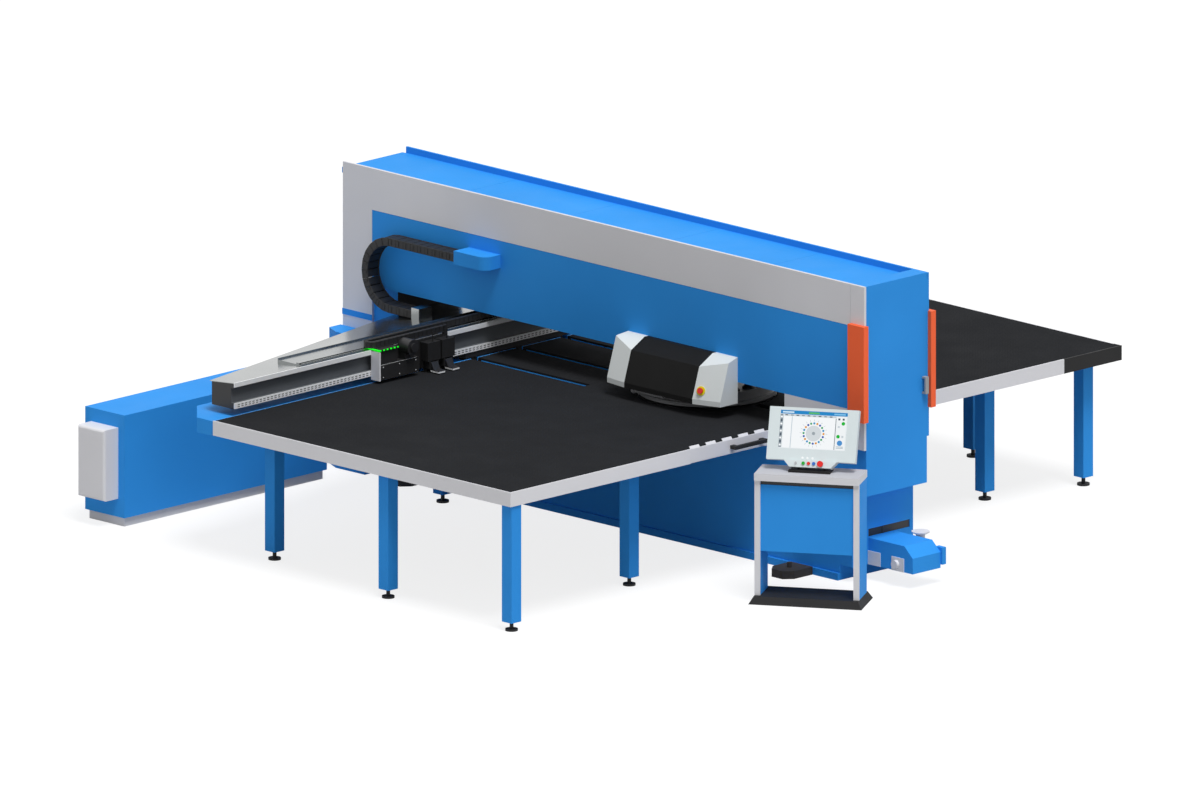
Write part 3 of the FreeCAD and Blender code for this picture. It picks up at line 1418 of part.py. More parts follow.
def clamps():
    """Two sheet clamps: cheeked bodies with a lower anvil and a rod, and a hinged upper jaw each."""
    bodies = []
    left, right = "carriage_face", "carriage_face + clamp_reach"
    low = "jaw_pin_z - cheek_drop"
    for i in range(2):
        start = "carriage_back - clamp_first + %d * clamp_pitch" % i
        stop = start + " + clamp_width"
        mid = start + " + clamp_width / 2"
        block = slab("clamp_block_%d" % i, (left, start, "jaw_roof"), (right, stop, "clamp_roof"))
        back = slab("clamp_back_%d" % i, (left, start, low), (left + " + clamp_back_thick", stop, "jaw_roof"))
        cheeks = []
        for j, place in enumerate((mid + " - jaw_half - jaw_gap - cheek_thick",
                                   mid + " + jaw_half + jaw_gap")):
            cheeks.append(slab("cheek_%d_%d" % (i, j), (left, place, low),
                               (right, place + " + cheek_thick", "jaw_roof")))
        pin = rod("jaw_pin_%d" % i, ("jaw_pin_x", mid + " - jaw_half - jaw_gap", "jaw_pin_z"),
                  "jaw_pin_radius", "jaw_width + 2 * jaw_gap", "y")
        anvil = slab("anvil_%d" % i, (left, mid + " - jaw_half", "anvil_top - anvil_thick"),
                     ("jaw_pin_x + jaw_length", mid + " + jaw_half", "anvil_top"))
        web = slab("anvil_web_%d" % i, (left, mid + " - jaw_half", "anvil_top"),
                   (left + " + anvil_web", mid + " + jaw_half", low))
        stick = rod("rod_%d" % i, (right + " - rod_inset", mid, "clamp_roof"), "rod_radius", "rod_height")
        bodies.append(fuse("clamp_body_%d" % i, [block, back, pin, anvil, web, stick] + cheeks))
        tip_low = "anvil_top + jaw_gap"
        tip_top = tip_low + " + jaw_thick"
        heel = "jaw_heel"
        jaw = prism("jaw_%d" % i, "XZ_Plane", [
            ("jaw_pin_x - " + heel, "jaw_pin_z - " + heel), ("jaw_pin_x + " + heel, tip_low),
            ("jaw_pin_x + jaw_length", tip_low), ("jaw_pin_x + jaw_length", tip_top),
            ("jaw_pin_x + jaw_knee", tip_top + " + jaw_swell"),
            ("jaw_pin_x + " + heel, "jaw_pin_z + jaw_thick"),
            ("jaw_pin_x - " + heel, "jaw_pin_z + jaw_thick")], mid + " - jaw_half", mid + " + jaw_half")
        hole = rod("jaw_hole_%d" % i, ("jaw_pin_x", mid + " - jaw_half - 1", "jaw_pin_z"),
                   "jaw_pin_radius + run_gap", "jaw_width + 2", "y")
        node(cut("jaw_body_%d" % i, jaw, [hole]), "clamp_jaw_%d" % (i + 1))
    node(group("clamp_bodies_all", bodies), "clamp_bodies")


# ---------------------------------------------------------------- cabinet, conveyor, console

def cabinet():
    """Electrical cabinet on a plinth, with a cooling unit on its front end."""
    node(slab("cabinet_box", ("cabinet_left", "cabinet_front", "plinth_height"),
              ("cabinet_right", "cabinet_back", "cabinet_top")), "cabinet_body")
    plinth = slab("plinth", ("cabinet_left + plinth_inset", "cabinet_front + plinth_inset", "0"),
                  ("cabinet_right - plinth_inset", "cabinet_back - plinth_inset", "plinth_height"))
    front = "cabinet_front - cooler_depth"
    cooler = prism("cooler", "XY_Plane", [
        ("cooler_left", front), ("cooler_right", front), ("cooler_right", "cabinet_front"),
        ("cooler_left", "cabinet_front")], "cooler_bottom", "cooler_top")
    doc.recompute()
    foremost = min(edge.BoundBox.YMin for edge in cooler.Shape.Edges)
    names = ["Edge%d" % (i + 1) for i, edge in enumerate(cooler.Shape.Edges)
             if edge.BoundBox.YMax - foremost < 0.01]
    round_edges(cooler, "cooler_rounding", names, "cooler_round")
    node(group("cabinet_trim_parts", [plinth, cooler]), "cabinet_trim")


def conveyor():
    """Slug conveyor's housing at the right end, its side plates, knob, hopper and drive block."""
    housing = prism("conveyor_box", "XZ_Plane", [
        ("frame_half", "conveyor_bottom"), ("conveyor_right", "conveyor_bottom"),
        ("conveyor_right", "conveyor_top - conveyor_slope_z"),
        ("conveyor_right - conveyor_slope_x", "conveyor_top"), ("frame_half", "conveyor_top")],
        "conveyor_front", "conveyor_back")
    block_right = "conveyor_right + drive_block_reach"
    block = slab("drive_block_box", (block_right + " - drive_block", "conveyor_back", "drive_block_bottom"),
                 (block_right, "conveyor_back + drive_block_depth", "drive_block_top"))
    node(group("conveyor_parts", [housing, block]), "slug_conveyor")
    face = "conveyor_front"
    plates = []
    for i, place in enumerate(("frame_half", "second_plate")):
        plates.append(slab("side_plate_%d" % i, (place, face + " - plate_thick", "conveyor_bottom"),
                           (place + " + plate_width", face, "conveyor_bottom + plate_height")))
    knob = rod("knob", ("second_plate + knob_along", face + " - plate_thick - knob_length",
                        "conveyor_bottom + plate_height / 2"), "knob_radius", "knob_length", "y")
    second = fuse("plate_knob", [plates[1], knob])
    base = "hopper_top - hopper_height"
    hopper = turned("hopper", [
        ("0", base), ("hopper_neck", base), ("hopper_neck", "hopper_top - hopper_lip - hopper_cone"),
        ("hopper_radius", "hopper_top - hopper_lip"), ("hopper_radius", "hopper_top"), ("0", "hopper_top")])
    hopper_placed = placed("hopper_placed", hopper, ("hopper_x", "hopper_y", "0"))
    stay = slab("hopper_stay_plate", ("hopper_x - hopper_stay", "conveyor_back", base + " - plate_thick"),
                ("hopper_x + hopper_stay", "hopper_y + hopper_stay", base))
    node(group("conveyor_bright", [plates[0], second, hopper_placed, stay]), "conveyor_fittings")


def console():
    """Operator's console, turned towards the operator: base, blue body, grey desk and trims."""
    levels = []
    for shy, height in (("0", "0"), ("base_slope", "base_height")):
        x, y = "(base_width / 2 - %s)" % shy, "(base_depth / 2 - %s)" % shy
        levels.append((height, [("-" + x, "-" + y), (x, "-" + y), (x, y), ("-" + x, y)]))
    base = lofted("console_plate", "XY_Plane", levels)
    foot_all = fuse("panel_foot_all", panel_foot())
    half_desk, leg_back = "desk_width / 2", "console_leg_depth / 2"
    legs, trims = [], []
    for i, place in enumerate(("-" + half_desk, half_desk + " - console_leg_width")):
        legs.append(slab("console_leg_%d" % i, (place, "-%s + trim_thick" % leg_back, "base_height"),
                         (place + " + console_leg_width", leg_back, "desk_under")))
        trims.append(slab("console_trim_%d" % i, (place, "-" + leg_back, "base_height"),
                          (place + " + console_leg_width", "-%s + trim_thick" % leg_back, "desk_under")))
    case = slab("console_case", ("-box_width / 2", "-%s + trim_thick" % leg_back, "box_bottom"),
                ("box_width / 2", "-%s + trim_thick + box_depth" % leg_back, "box_top"))
    desk = slab("desk", ("-" + half_desk, "-desk_depth / 2", "desk_under"),
                (half_desk, "desk_depth / 2", "desk_top"))
    for label, parts in (("console_base", [base, foot_all]), ("console_body", legs + [case]),
                         ("console_top", [desk] + trims)):
        whole = group(label + "_parts", parts)
        move_to(whole, ("console_x", "console_y", "0"), yaw="console_yaw")
        node(whole, label)


def panel_foot():
    """Plate, nose, two ears and a shaft that carry the tilting operator panel."""
    half = "panel_foot_width / 2"
    top = "desk_top + panel_foot_plate"
    parts = [slab("panel_foot_base", ("-" + half, "panel_foot_front", "desk_top"),
                  (half, "panel_foot_back", top)),
             slab("panel_foot_front_nose", ("-" + half, "panel_foot_front", top),
                  (half, "panel_foot_front + panel_foot_nose", "desk_top + panel_foot_nose_height")),
             rod("panel_shaft", ("-ear_inside", "pivot_set_back", "desk_top + pivot_height"), "pivot_shaft",
                 "2 * ear_inside", "x")]
    for i, place in enumerate(("-ear_inside - ear_thick", "ear_inside")):
        parts.append(slab("panel_ear_%d" % i, (place, "pivot_set_back - pivot_radius", top),
                          (place + " + ear_thick", "pivot_set_back + pivot_radius",
                           "desk_top + pivot_height + pivot_radius")))
    return parts


def on_panel(item, label):
    """Place a part drawn in the operator panel's own frame, whose origin is on the tilt shaft."""
    place = ("console_x - pivot_set_back * sin(console_yaw * 1 deg)",
             "console_y + pivot_set_back * cos(console_yaw * 1 deg)", "desk_top + pivot_height")
    node(placed(label + "_placed", item, place, yaw="console_yaw", roll="-panel_tilt"), label)


def operator_panel():
    """Monitor with its screen, and the button box below it, tilting on the foot's shaft."""
    top = "bezel_low + bezel_height"
    frame = slab("bezel", ("-bezel_width / 2", "bezel_front", "bezel_low"),
                 ("bezel_width / 2", "bezel_back", top))
    pane_low, pane_top = "bezel_low + screen_low", "bezel_low + screen_low + screen_height"
    window = slab("screen_window", ("-screen_width / 2", "bezel_front - 1", pane_low),
                  ("screen_width / 2", "bezel_front + screen_inset + screen_thick", pane_top))
    on_panel(cut("bezel_cut", frame, [window]), "monitor_bezel")
    on_panel(slab("pane", ("-screen_width / 2 + pane_gap", "bezel_front + screen_inset",
                           pane_low + " + pane_gap"),
                  ("screen_width / 2 - pane_gap", "bezel_front + screen_inset + screen_thick",
                   pane_top + " - pane_gap")), "monitor_screen")
    case = prism("button_case", "XZ_Plane", [
        ("-box_low_width / 2", "box_low"), ("box_low_width / 2", "box_low"),
        ("box_top_width / 2", "bezel_low"),
        ("-box_top_width / 2", "bezel_low")], "box_front", "box_front + box_thick")
    lugs = []
    for i, place in enumerate(("-ear_inside + ear_gap", "ear_inside - ear_gap - lug_width")):
        lugs.append(slab("lug_%d" % i, (place, "box_front + box_thick", "-pivot_radius"),
                         (place + " + lug_width", "pivot_radius", "bezel_low")))
        lugs.append(slab("lug_back_%d" % i, (place, "bezel_back", "bezel_low"),
                         (place + " + lug_width", "pivot_radius", "lug_top")))
    sockets = [rod("lug_eye", ("-ear_inside", "0", "0"), "pivot_shaft + run_gap", "2 * ear_inside", "x")]
    for name, radius in (("green", "button_radius"), ("red", "button_radius"), ("blue", "button_radius"),
                         ("key", "key_radius"), ("stop", "estop_stem")):
        sockets.append(rod("socket_" + name, (name + "_x", "box_front - 1", "button_z"),
                           radius + " + button_guide", "button_socket + 1", "y"))
    on_panel(cut("button_case_all", fuse("case_with_lugs", [case] + lugs), sockets), "button_box")
    for name in ("green", "red", "blue"):
        cap = rod("cap_" + name, (name + "_x", "box_front - button_proud", "button_z"), "button_radius",
                  "button_length", "y")
        on_panel(cap, name + "_button")
    key_front = "box_front - key_proud"
    key = fuse("key_all", [
        rod("key_barrel", ("key_x", key_front, "button_z"), "key_radius", "button_socket", "y"),
        slab("key_bow_plate", ("key_x - key_thick / 2", key_front + " - key_bow", "button_z - key_bow / 2"),
             ("key_x + key_thick / 2", key_front, "button_z + key_bow / 2"))])
    on_panel(key, "key_switch")
    stop = fuse("panel_stop", [
        rod("stop_stem", ("stop_x", "box_front - estop_lift", "button_z"), "estop_stem", "button_socket",
            "y"),
        rod("stop_head", ("stop_x", "box_front - estop_lift - estop_head", "button_z"), "estop_radius",
            "estop_head", "y")])
    on_panel(stop, "panel_stop_button")


for make in (bridge_frame, floor_pads, fascia, rear_panel, top_covers, end_covers, light_guards, grab_handles,
             turret_mounts, inner_drives, turrets, ram, turret_hood, decks, table_edge, table_frame,
             table_legs, side_beams, guide_rails, flap, beam_body, beam_rails, beam_cover,
             beam_structure, bridge_chain, beam_chain, carriage, clamps, cabinet, conveyor, console,
             operator_panel):
    make()
doc.recompute()

# ---------------------------------------------------------------- check and write

failed = [item.Name for item in doc.Objects if any(word in item.State for word in ("Invalid", "Error"))]
if failed:
    raise RuntimeError("failed objects: " + ", ".join(failed))
for item in NODES:
    if item.Shape.isNull() or not item.Shape.isValid():
        raise RuntimeError("bad shape: " + item.Label)
os.makedirs("parts", exist_ok=True)
for item in NODES:
    item.Shape.exportStep("parts/%s.step" % item.Label)
print(len(NODES), "nodes,", sum(len(item.Shape.Solids) for item in NODES), "solids")
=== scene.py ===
"""Looks of a CNC turret punch press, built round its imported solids.

Sizes are metres in the part's own frame: X along the bridge, Y away from the operator, Z up.
"""
from __future__ import annotations

import json
import logging
import math
from dataclasses import dataclass, field
from enum import Enum
from typing import Any, Sequence

import bpy
import numpy as np
from mathutils import Matrix, Vector

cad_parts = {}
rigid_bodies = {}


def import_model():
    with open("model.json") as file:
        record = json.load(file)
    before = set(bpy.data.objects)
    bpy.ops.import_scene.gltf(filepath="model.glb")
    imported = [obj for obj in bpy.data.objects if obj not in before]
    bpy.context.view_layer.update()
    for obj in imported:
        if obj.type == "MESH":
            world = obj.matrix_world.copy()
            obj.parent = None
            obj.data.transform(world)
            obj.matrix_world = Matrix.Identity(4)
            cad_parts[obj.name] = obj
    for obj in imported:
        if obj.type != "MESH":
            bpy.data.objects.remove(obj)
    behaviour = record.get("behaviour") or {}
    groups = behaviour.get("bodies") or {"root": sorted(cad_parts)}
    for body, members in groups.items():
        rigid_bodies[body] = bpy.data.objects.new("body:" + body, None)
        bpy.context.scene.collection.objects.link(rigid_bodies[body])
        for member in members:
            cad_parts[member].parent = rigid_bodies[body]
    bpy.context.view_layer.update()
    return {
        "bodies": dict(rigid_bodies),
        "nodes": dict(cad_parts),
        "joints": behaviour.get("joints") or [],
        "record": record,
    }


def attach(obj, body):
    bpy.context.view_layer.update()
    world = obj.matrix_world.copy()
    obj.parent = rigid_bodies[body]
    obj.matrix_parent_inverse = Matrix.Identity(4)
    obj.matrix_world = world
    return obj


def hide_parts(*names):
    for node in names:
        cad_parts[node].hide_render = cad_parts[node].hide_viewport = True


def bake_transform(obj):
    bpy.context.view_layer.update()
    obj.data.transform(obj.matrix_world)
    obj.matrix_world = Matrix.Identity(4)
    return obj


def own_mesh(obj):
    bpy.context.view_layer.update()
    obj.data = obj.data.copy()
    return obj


LOG = logging.getLogger("punch_press")
ROUND_STEPS = 1  # facets in each quarter circle of a brick's edge
Pair = tuple[float, float]
Point = tuple[float, float, float]
Socket = bpy.types.NodeSocket
Tree = bpy.types.NodeTree


# ---------------- surfaces

def rows(x: float | np.ndarray, y: float | np.ndarray, z: float | np.ndarray) -> np.ndarray:
    """Stacks coordinates, each one number or one for each point, as one row for each point."""
    return np.stack(np.broadcast_arrays(x, y, z), axis=-1).astype(float)


def block(low: Sequence[float], high: Sequence[float], edge: float) -> np.ndarray:
    """Works out rounded bricks as rings of points stacked along Z.

    A ring is a rectangle whose corners are quarter circles of radius edge. Rings near both ends
    are drawn in by edge * (1 - cos a) while a goes from 90 degrees to 0, so every edge is rounded.

    Args:
        low: Lowest corner, or one row for each brick.
        high: Highest corner, or one row for each brick.
        edge: Radius of the edges.

    Returns:
        Points as (bricks, rings, points round, 3).
    """
    low = np.atleast_2d(np.asarray(low, float))
    high = np.atleast_2d(np.asarray(high, float))
    count = ROUND_STEPS + 1
    quarter = np.linspace(0.0, math.pi / 2, count)
    rise = np.concatenate([1 - np.sin(quarter[::-1]), 1 - np.sin(quarter)])
    draw = np.concatenate([1 - np.cos(quarter[::-1]), 1 - np.cos(quarter)]) * edge
    level = np.concatenate([edge * rise[:count], -edge * rise[count:]])
    from_top = np.repeat([0.0, 1.0], count)
    corner = np.repeat(np.arange(4), count) * math.pi / 2
    angle = np.tile(quarter, 4) + corner
    side = np.stack([np.sign(np.cos(corner + math.pi / 4)), np.sign(np.sin(corner + math.pi / 4))], 1)
    half = (high - low) / 2
    middle = (high + low) / 2
    centre = half[:, None, :2] - edge
    ring = side[None] * centre + edge * np.stack([np.cos(angle), np.sin(angle)], 1)[None]
    shrink = 1 - draw[None, :, None, None] / half[:, None, None, :2]
    flat = middle[:, None, None, :2] + ring[:, None] * shrink
    height = low[:, 2:3] * (1 - from_top) + high[:, 2:3] * from_top + level
    height = np.broadcast_to(height[:, :, None, None], flat.shape[:3] + (1,))
    return np.concatenate([flat, height], axis=3)


def turned(outline: Sequence[Pair], centres: Sequence[Sequence[float]], axis: Sequence[float],
           steps: int) -> np.ndarray:
    """Works out turned parts: each outline point goes round a circle about the axis.

    The point at angle a is centre + axis * height + radius * (u cos a + v sin a), where u, v and
    the axis are square to each other.

    Args:
        outline: Pairs of radius and height along the axis, from the bottom up.
        centres: One centre for each part.
        axis: Direction of the axis.
        steps: Points round each circle.

    Returns:
        Points as (parts, heights, points round, 3).
    """
    along = np.asarray(axis, float) / np.linalg.norm(axis)
    helper = np.array([0.0, 0.0, 1.0]) if abs(along[2]) < 0.9 else np.array([1.0, 0.0, 0.0])
    first = np.cross(helper, along)
    first /= np.linalg.norm(first)
    second = np.cross(along, first)
    angle = np.linspace(0, 2 * math.pi, steps, endpoint=False)
    circle = np.cos(angle)[:, None] * first + np.sin(angle)[:, None] * second
    radius, height = np.asarray(outline, float).T
    part = radius[:, None, None] * circle[None] + height[:, None, None] * along
    return np.atleast_2d(np.asarray(centres, float))[:, None, None, :] + part[None]


def placed(name: str, data: bpy.types.ID) -> bpy.types.Object:
    """Makes an object of that data and puts it in the scene."""
    made = bpy.data.objects.new(name, data)
    bpy.context.scene.collection.objects.link(made)
    return made


def piece(name: str, rings: np.ndarray | Sequence[np.ndarray], body: str | None, finish: Paint,
          tints: np.ndarray | None = None, looped: bool = False) -> bpy.types.Object:
    """Makes one object of closed skins over rings of points, and lets it ride on a body.

    Neighbouring points of neighbouring rings are joined by quads. The first and last ring are
    closed by one face each, or joined to each other in a looped piece such as a washer.

    Args:
        name: Name of the object.
        rings: Arrays of (parts, rings, points, 3).
        body: The body that carries it, or None for a piece carried by no body.
        finish: The finish of its surface.
        tints: One linear colour for each part, where the finish reads them.
        looped: True where the last ring joins the first.

    Returns:
        The new object.
    """
    groups = [rings] if isinstance(rings, np.ndarray) else list(rings)
    faces: list[tuple[int, ...]] = []
    points = []
    owner = []
    base = part = 0
    for group in groups:
        count, tall, round_, _ = group.shape
        index = np.arange(tall * round_).reshape(tall, round_)
        after = np.roll(index, -1, axis=1)
        lower = slice(None) if looped else slice(None, -1)
        upper = (np.arange(tall) + 1)[lower] % tall
        quads = np.stack([index[lower], after[lower], after[upper], index[upper]], axis=-1).reshape(-1, 4)
        starts = base + np.arange(count) * tall * round_
        faces += (quads[None] + starts[:, None, None]).reshape(-1, 4).tolist()
        owner.append(part + np.repeat(np.arange(count), len(quads)))
        if not looped:
            faces += (index[0, ::-1][None] + starts[:, None]).tolist()
            faces += (index[-1][None] + starts[:, None]).tolist()
            owner += [part + np.arange(count), part + np.arange(count)]
        points.append(group.reshape(-1, 3))
        base += count * tall * round_
        part += count
    mesh = bpy.data.meshes.new(name)
    mesh.from_pydata(np.concatenate(points).tolist(), [], faces)
    if tints is not None:
        layer = mesh.attributes.new("tint", "FLOAT_COLOR", "FACE")
        layer.data.foreach_set("color", tints[np.concatenate(owner)].astype(np.float32).ravel())
    mesh.update()
    made = placed(name, mesh)
    mesh.materials.append(finish.material())
    if body:
        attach(made, body)
    LOG.info("%s: %d faces on %s", name, len(faces), body)
    return made


# ---------------- finishes

def linear(code: str) -> tuple[float, float, float, float]:
    """Turns an sRGB hex colour into linear red, green, blue and a full alpha."""
    parts = [int(code[i:i + 2], 16) / 255 for i in (1, 3, 5)]
    bent = [v / 12.92 if v <= 0.04045 else ((v + 0.055) / 1.055) ** 2.4 for v in parts]
    return (bent[0], bent[1], bent[2], 1.0)


def per_metre(size_mm: float) -> float:
    """Noise scale whose features are about that many millimetres wide."""
    return 1000.0 / size_mm


def cleared(owner: bpy.types.ID) -> Tree:
    """Turns on a material's or world's nodes and gives its tree with nothing in it."""
    owner.use_nodes = True
    owner.node_tree.nodes.clear()
    return owner.node_tree


def add_node(tree: Tree, kind: str, settings: dict[str, Any] | None = None,
             **inputs: Any) -> bpy.types.Node:
    """Adds a shader node, sets it and joins it up.

    Args:
        tree: The material's or world's node tree.
        kind: Blender's name of the node type.
        settings: Attributes of the node.
        **inputs: Sockets by name, with _ for a space, or i and a number. A value is set, an
            output socket is linked, and so is the first output of a node.

    Returns:
        The new node.
    """
    made = tree.nodes.new(kind)
    for key, value in (settings or {}).items():
        setattr(made, key, value)
    for key, value in inputs.items():
        socket = made.inputs[int(key[1:])] if key[1:].isdigit() else made.inputs[key.replace("_", " ")]
        if isinstance(value, bpy.types.Node):
            value = value.outputs[0]
        if isinstance(value, Socket):
            tree.links.new(value, socket)
        else:
            socket.default_value = value
    return made


@dataclass(frozen=True)
class Finish:
    """A finish with a principled surface, slow shade changes and a fine bump.

    Attributes:
        name: What the real finish is called.
        colour: Main colour, sRGB hex.
        shade: The same colour where it is darker, sRGB hex.
        roughness: Mean roughness.
        level: Specular level, 0.5 for the default.
        metallic: 1 for bare metal.
        grain_mm: Size of the bump's features.
        bump_mm: Height of the bump.
        cloud_mm: Size of the slow shade changes.
        dust_mm: Size of the roughness changes.
        dust_share: How far roughness goes from its mean, as a share of it.
    """

    name: str
    colour: str
    shade: str
    roughness: float = 0.5
    level: float = 0.3
    metallic: float = 0.0
    grain_mm: float = 6.0
    bump_mm: float = 0.05
    cloud_mm: float = 900.0
    dust_mm: float = 260.0
    dust_share: float = 0.08

    def material(self) -> bpy.types.Material:
        """Gives the finish's material, made on first use."""
        known = bpy.data.materials.get(self.name)
        if known:
            return known
        made = bpy.data.materials.new(self.name)
        tree = cleared(made)
        place = add_node(tree, "ShaderNodeTexCoord").outputs["Object"]
        surface = add_node(tree, "ShaderNodeBsdfPrincipled", None, Metallic=self.metallic,
                           Specular_IOR_Level=self.level, Base_Color=self.tone(tree, place),
                           Roughness=self.gloss(tree, place), Normal=self.relief(tree, place))
        self.extra(tree, place, surface)
        add_node(tree, "ShaderNodeOutputMaterial", None, Surface=surface)
        made.diffuse_color = linear(self.colour)
        return made

    def tone(self, tree: Tree, place: Socket) -> Socket:
        """Colour that drifts between shade and colour over cloud_mm."""
        drift = add_node(tree, "ShaderNodeTexNoise", None, Vector=place, Scale=per_metre(self.cloud_mm),
                         Detail=2.0)
        spread = add_node(tree, "ShaderNodeMapRange", None, Value=drift.outputs["Fac"],
                          From_Min=0.35, From_Max=0.65)
        mixed = add_node(tree, "ShaderNodeMix", {"data_type": "RGBA"}, i0=spread, i6=linear(self.shade),
                         i7=linear(self.colour))
        return mixed.outputs[2]

    def gloss(self, tree: Tree, place: Socket) -> Socket:
        """Roughness that varies a little, as handling and dust leave it."""
        dust = add_node(tree, "ShaderNodeTexNoise", None, Vector=place, Scale=per_metre(self.dust_mm),
                        Detail=3.0)
        spread = add_node(tree, "ShaderNodeMapRange", None, Value=dust.outputs["Fac"], From_Min=0.3,
                          From_Max=0.7, To_Min=self.roughness * (1 - self.dust_share),
                          To_Max=min(1.0, self.roughness * (1 + self.dust_share)))
        return spread.outputs[0]

    def relief(self, tree: Tree, place: Socket) -> Socket:
        """Bump of grain_mm wide and bump_mm high."""
        grain = add_node(tree, "ShaderNodeTexNoise", None, Vector=place, Scale=per_metre(self.grain_mm),
                         Detail=2.0)
        bump = add_node(tree, "ShaderNodeBump", None, Distance=self.bump_mm / 1000.0, Strength=1.0,
                        Height=grain.outputs["Fac"])
        return bump.outputs[0]

    def extra(self, tree: Tree, place: Socket, surface: bpy.types.Node) -> None:
        """Anything more that one kind of finish adds."""


@dataclass(frozen=True)
class PowderCoat(Finish):
    """Powder coat on folded sheet: even satin colour with a faint orange peel.

    The real peel is 1 to 2 mm wide, and is drawn coarser so that it shows.
    """

    roughness: float = 0.5
    level: float = 0.22
    grain_mm: float = 9.0


@dataclass(frozen=True)
class PlacedCoat(PowderCoat):
    """Powder coat with other colours inside boxes of space, where the piece is masked or lined.

    A point lies in a box when the largest of |point - middle| / half size along the axes is under 1.
    """

    places: tuple[tuple[Point, Point, str], ...] = ()

    def tone(self, tree: Tree, place: Socket) -> Socket:
        """Main colour, replaced by each box's colour inside it."""
        base = super().tone(tree, place)
        vector, number = "ShaderNodeVectorMath", "ShaderNodeMath"
        for low, high, code in self.places:
            middle = tuple((a + b) / 2 for a, b in zip(low, high))
            half = tuple((b - a) / 2 for a, b in zip(low, high))
            away = add_node(tree, vector, {"operation": "SUBTRACT"}, i0=place, i1=middle)
            size = add_node(tree, vector, {"operation": "ABSOLUTE"}, i0=away)
            share = add_node(tree, vector, {"operation": "DIVIDE"}, i0=size, i1=half)
            axes = add_node(tree, "ShaderNodeSeparateXYZ", None, Vector=share)
            flat = add_node(tree, number, {"operation": "MAXIMUM"}, i0=axes, i1=axes.outputs[1])
            largest = add_node(tree, number, {"operation": "MAXIMUM"}, i0=flat, i1=axes.outputs[2])
            inside = add_node(tree, number, {"operation": "LESS_THAN"}, i0=largest, i1=1.0)
            mixed = add_node(tree, "ShaderNodeMix", {"data_type": "RGBA"}, i0=inside, i6=base,
                             i7=linear(code))
            base = mixed.outputs[2]
        return base


@dataclass(frozen=True)
class BrushField(Finish):
    """Dense nylon brush set in a black board: rows of dark tufts with the board between them.

    Tufts stand 25 mm apart on a square grid, each a little out of place.
    """

    roughness: float = 0.95
    level: float = 0.06
    pitch_mm: float = 25.0
    tuft: str = "#232427"
    tuft_high_mm: float = 0.8
    tuft_rim: Pair = (0.42, 0.25)  # where it starts and is full, as shares of the pitch
    scatter: float = 0.12

    def tone(self, tree: Tree, place: Socket) -> Socket:
        """Board colour with a round tuft of a slightly different colour in each cell."""
        base = super().tone(tree, place)
        spot = self.spots(tree, place)
        mixed = add_node(tree, "ShaderNodeMix", {"data_type": "RGBA"}, i0=spot, i6=base,
                         i7=linear(self.tuft))
        return mixed.outputs[2]

    def relief(self, tree: Tree, place: Socket) -> Socket:
        """Tufts stand a little proud of the board."""
        bump = add_node(tree, "ShaderNodeBump", None, Distance=self.tuft_high_mm / 1000.0,
                        Strength=0.6, Height=self.spots(tree, place))
        return bump.outputs[0]

    def spots(self, tree: Tree, place: Socket) -> Socket:
        """1 inside a tuft and 0 outside, by the distance from the middle of its cell."""
        cells = add_node(tree, "ShaderNodeTexVoronoi", {"feature": "F1", "voronoi_dimensions": "2D"},
                         Vector=place, Scale=per_metre(self.pitch_mm), Randomness=self.scatter)
        inside = add_node(tree, "ShaderNodeMapRange", None, Value=cells.outputs["Distance"],
                          From_Min=self.tuft_rim[0], From_Max=self.tuft_rim[1])
        return inside.outputs[0]


@dataclass(frozen=True)
class GroundSteel(Finish):
    """Ground bearing steel: fine straight scratches along Y, a soft bright sheen."""

    roughness: float = 0.3
    metallic: float = 1.0
    level: float = 0.5
    bump_mm: float = 0.03
    scratches: Point = (333.0, 5.0, 333.0)  # in each metre: 3 mm wide and 200 mm long

    def relief(self, tree: Tree, place: Socket) -> Socket:
        """Scratches drawn coarser than the real 0.1 mm grit leaves them, so that they show."""
        drawn = add_node(tree, "ShaderNodeMapping", None, Vector=place, Scale=self.scratches)
        grain = add_node(tree, "ShaderNodeTexNoise", None, Vector=drawn, Scale=1.0, Detail=2.0)
        bump = add_node(tree, "ShaderNodeBump", None, Distance=self.bump_mm / 1000.0, Strength=1.0,
                        Height=grain.outputs["Fac"])
        return bump.outputs[0]


@dataclass(frozen=True)
class MouldedPlastic(Finish):
    """Moulded ABS or polyamide: spark-eroded grain and a dull highlight.

    The real grain is about 0.1 mm wide, and is drawn coarser so that it shows.
    """

    roughness: float = 0.55
    level: float = 0.35
    grain_mm: float = 3.0


@dataclass(frozen=True)
class LitPlastic(Finish):
    """Diffuser or lens with a lamp behind it, which shines a little in its own colour."""

    glow: float = 0.8

    def extra(self, tree: Tree, place: Socket, surface: bpy.types.Node) -> None:
        """Adds the lamp's light."""
        surface.inputs["Emission Color"].default_value = linear(self.colour)
        surface.inputs["Emission Strength"].default_value = self.glow


@dataclass(frozen=True)
class PrintedPicture(Finish):
    """Lit display: each drawn field shines in its own colour, read from the mesh, behind dark glass."""

    glow: float = 0.97

    def extra(self, tree: Tree, place: Socket, surface: bpy.types.Node) -> None:
        """The same colour shines out of the display."""
        tint = add_node(tree, "ShaderNodeAttribute", {"attribute_name": "tint"}).outputs["Color"]
        tree.links.new(tint, surface.inputs["Emission Color"])
        surface.inputs["Emission Strength"].default_value = self.glow


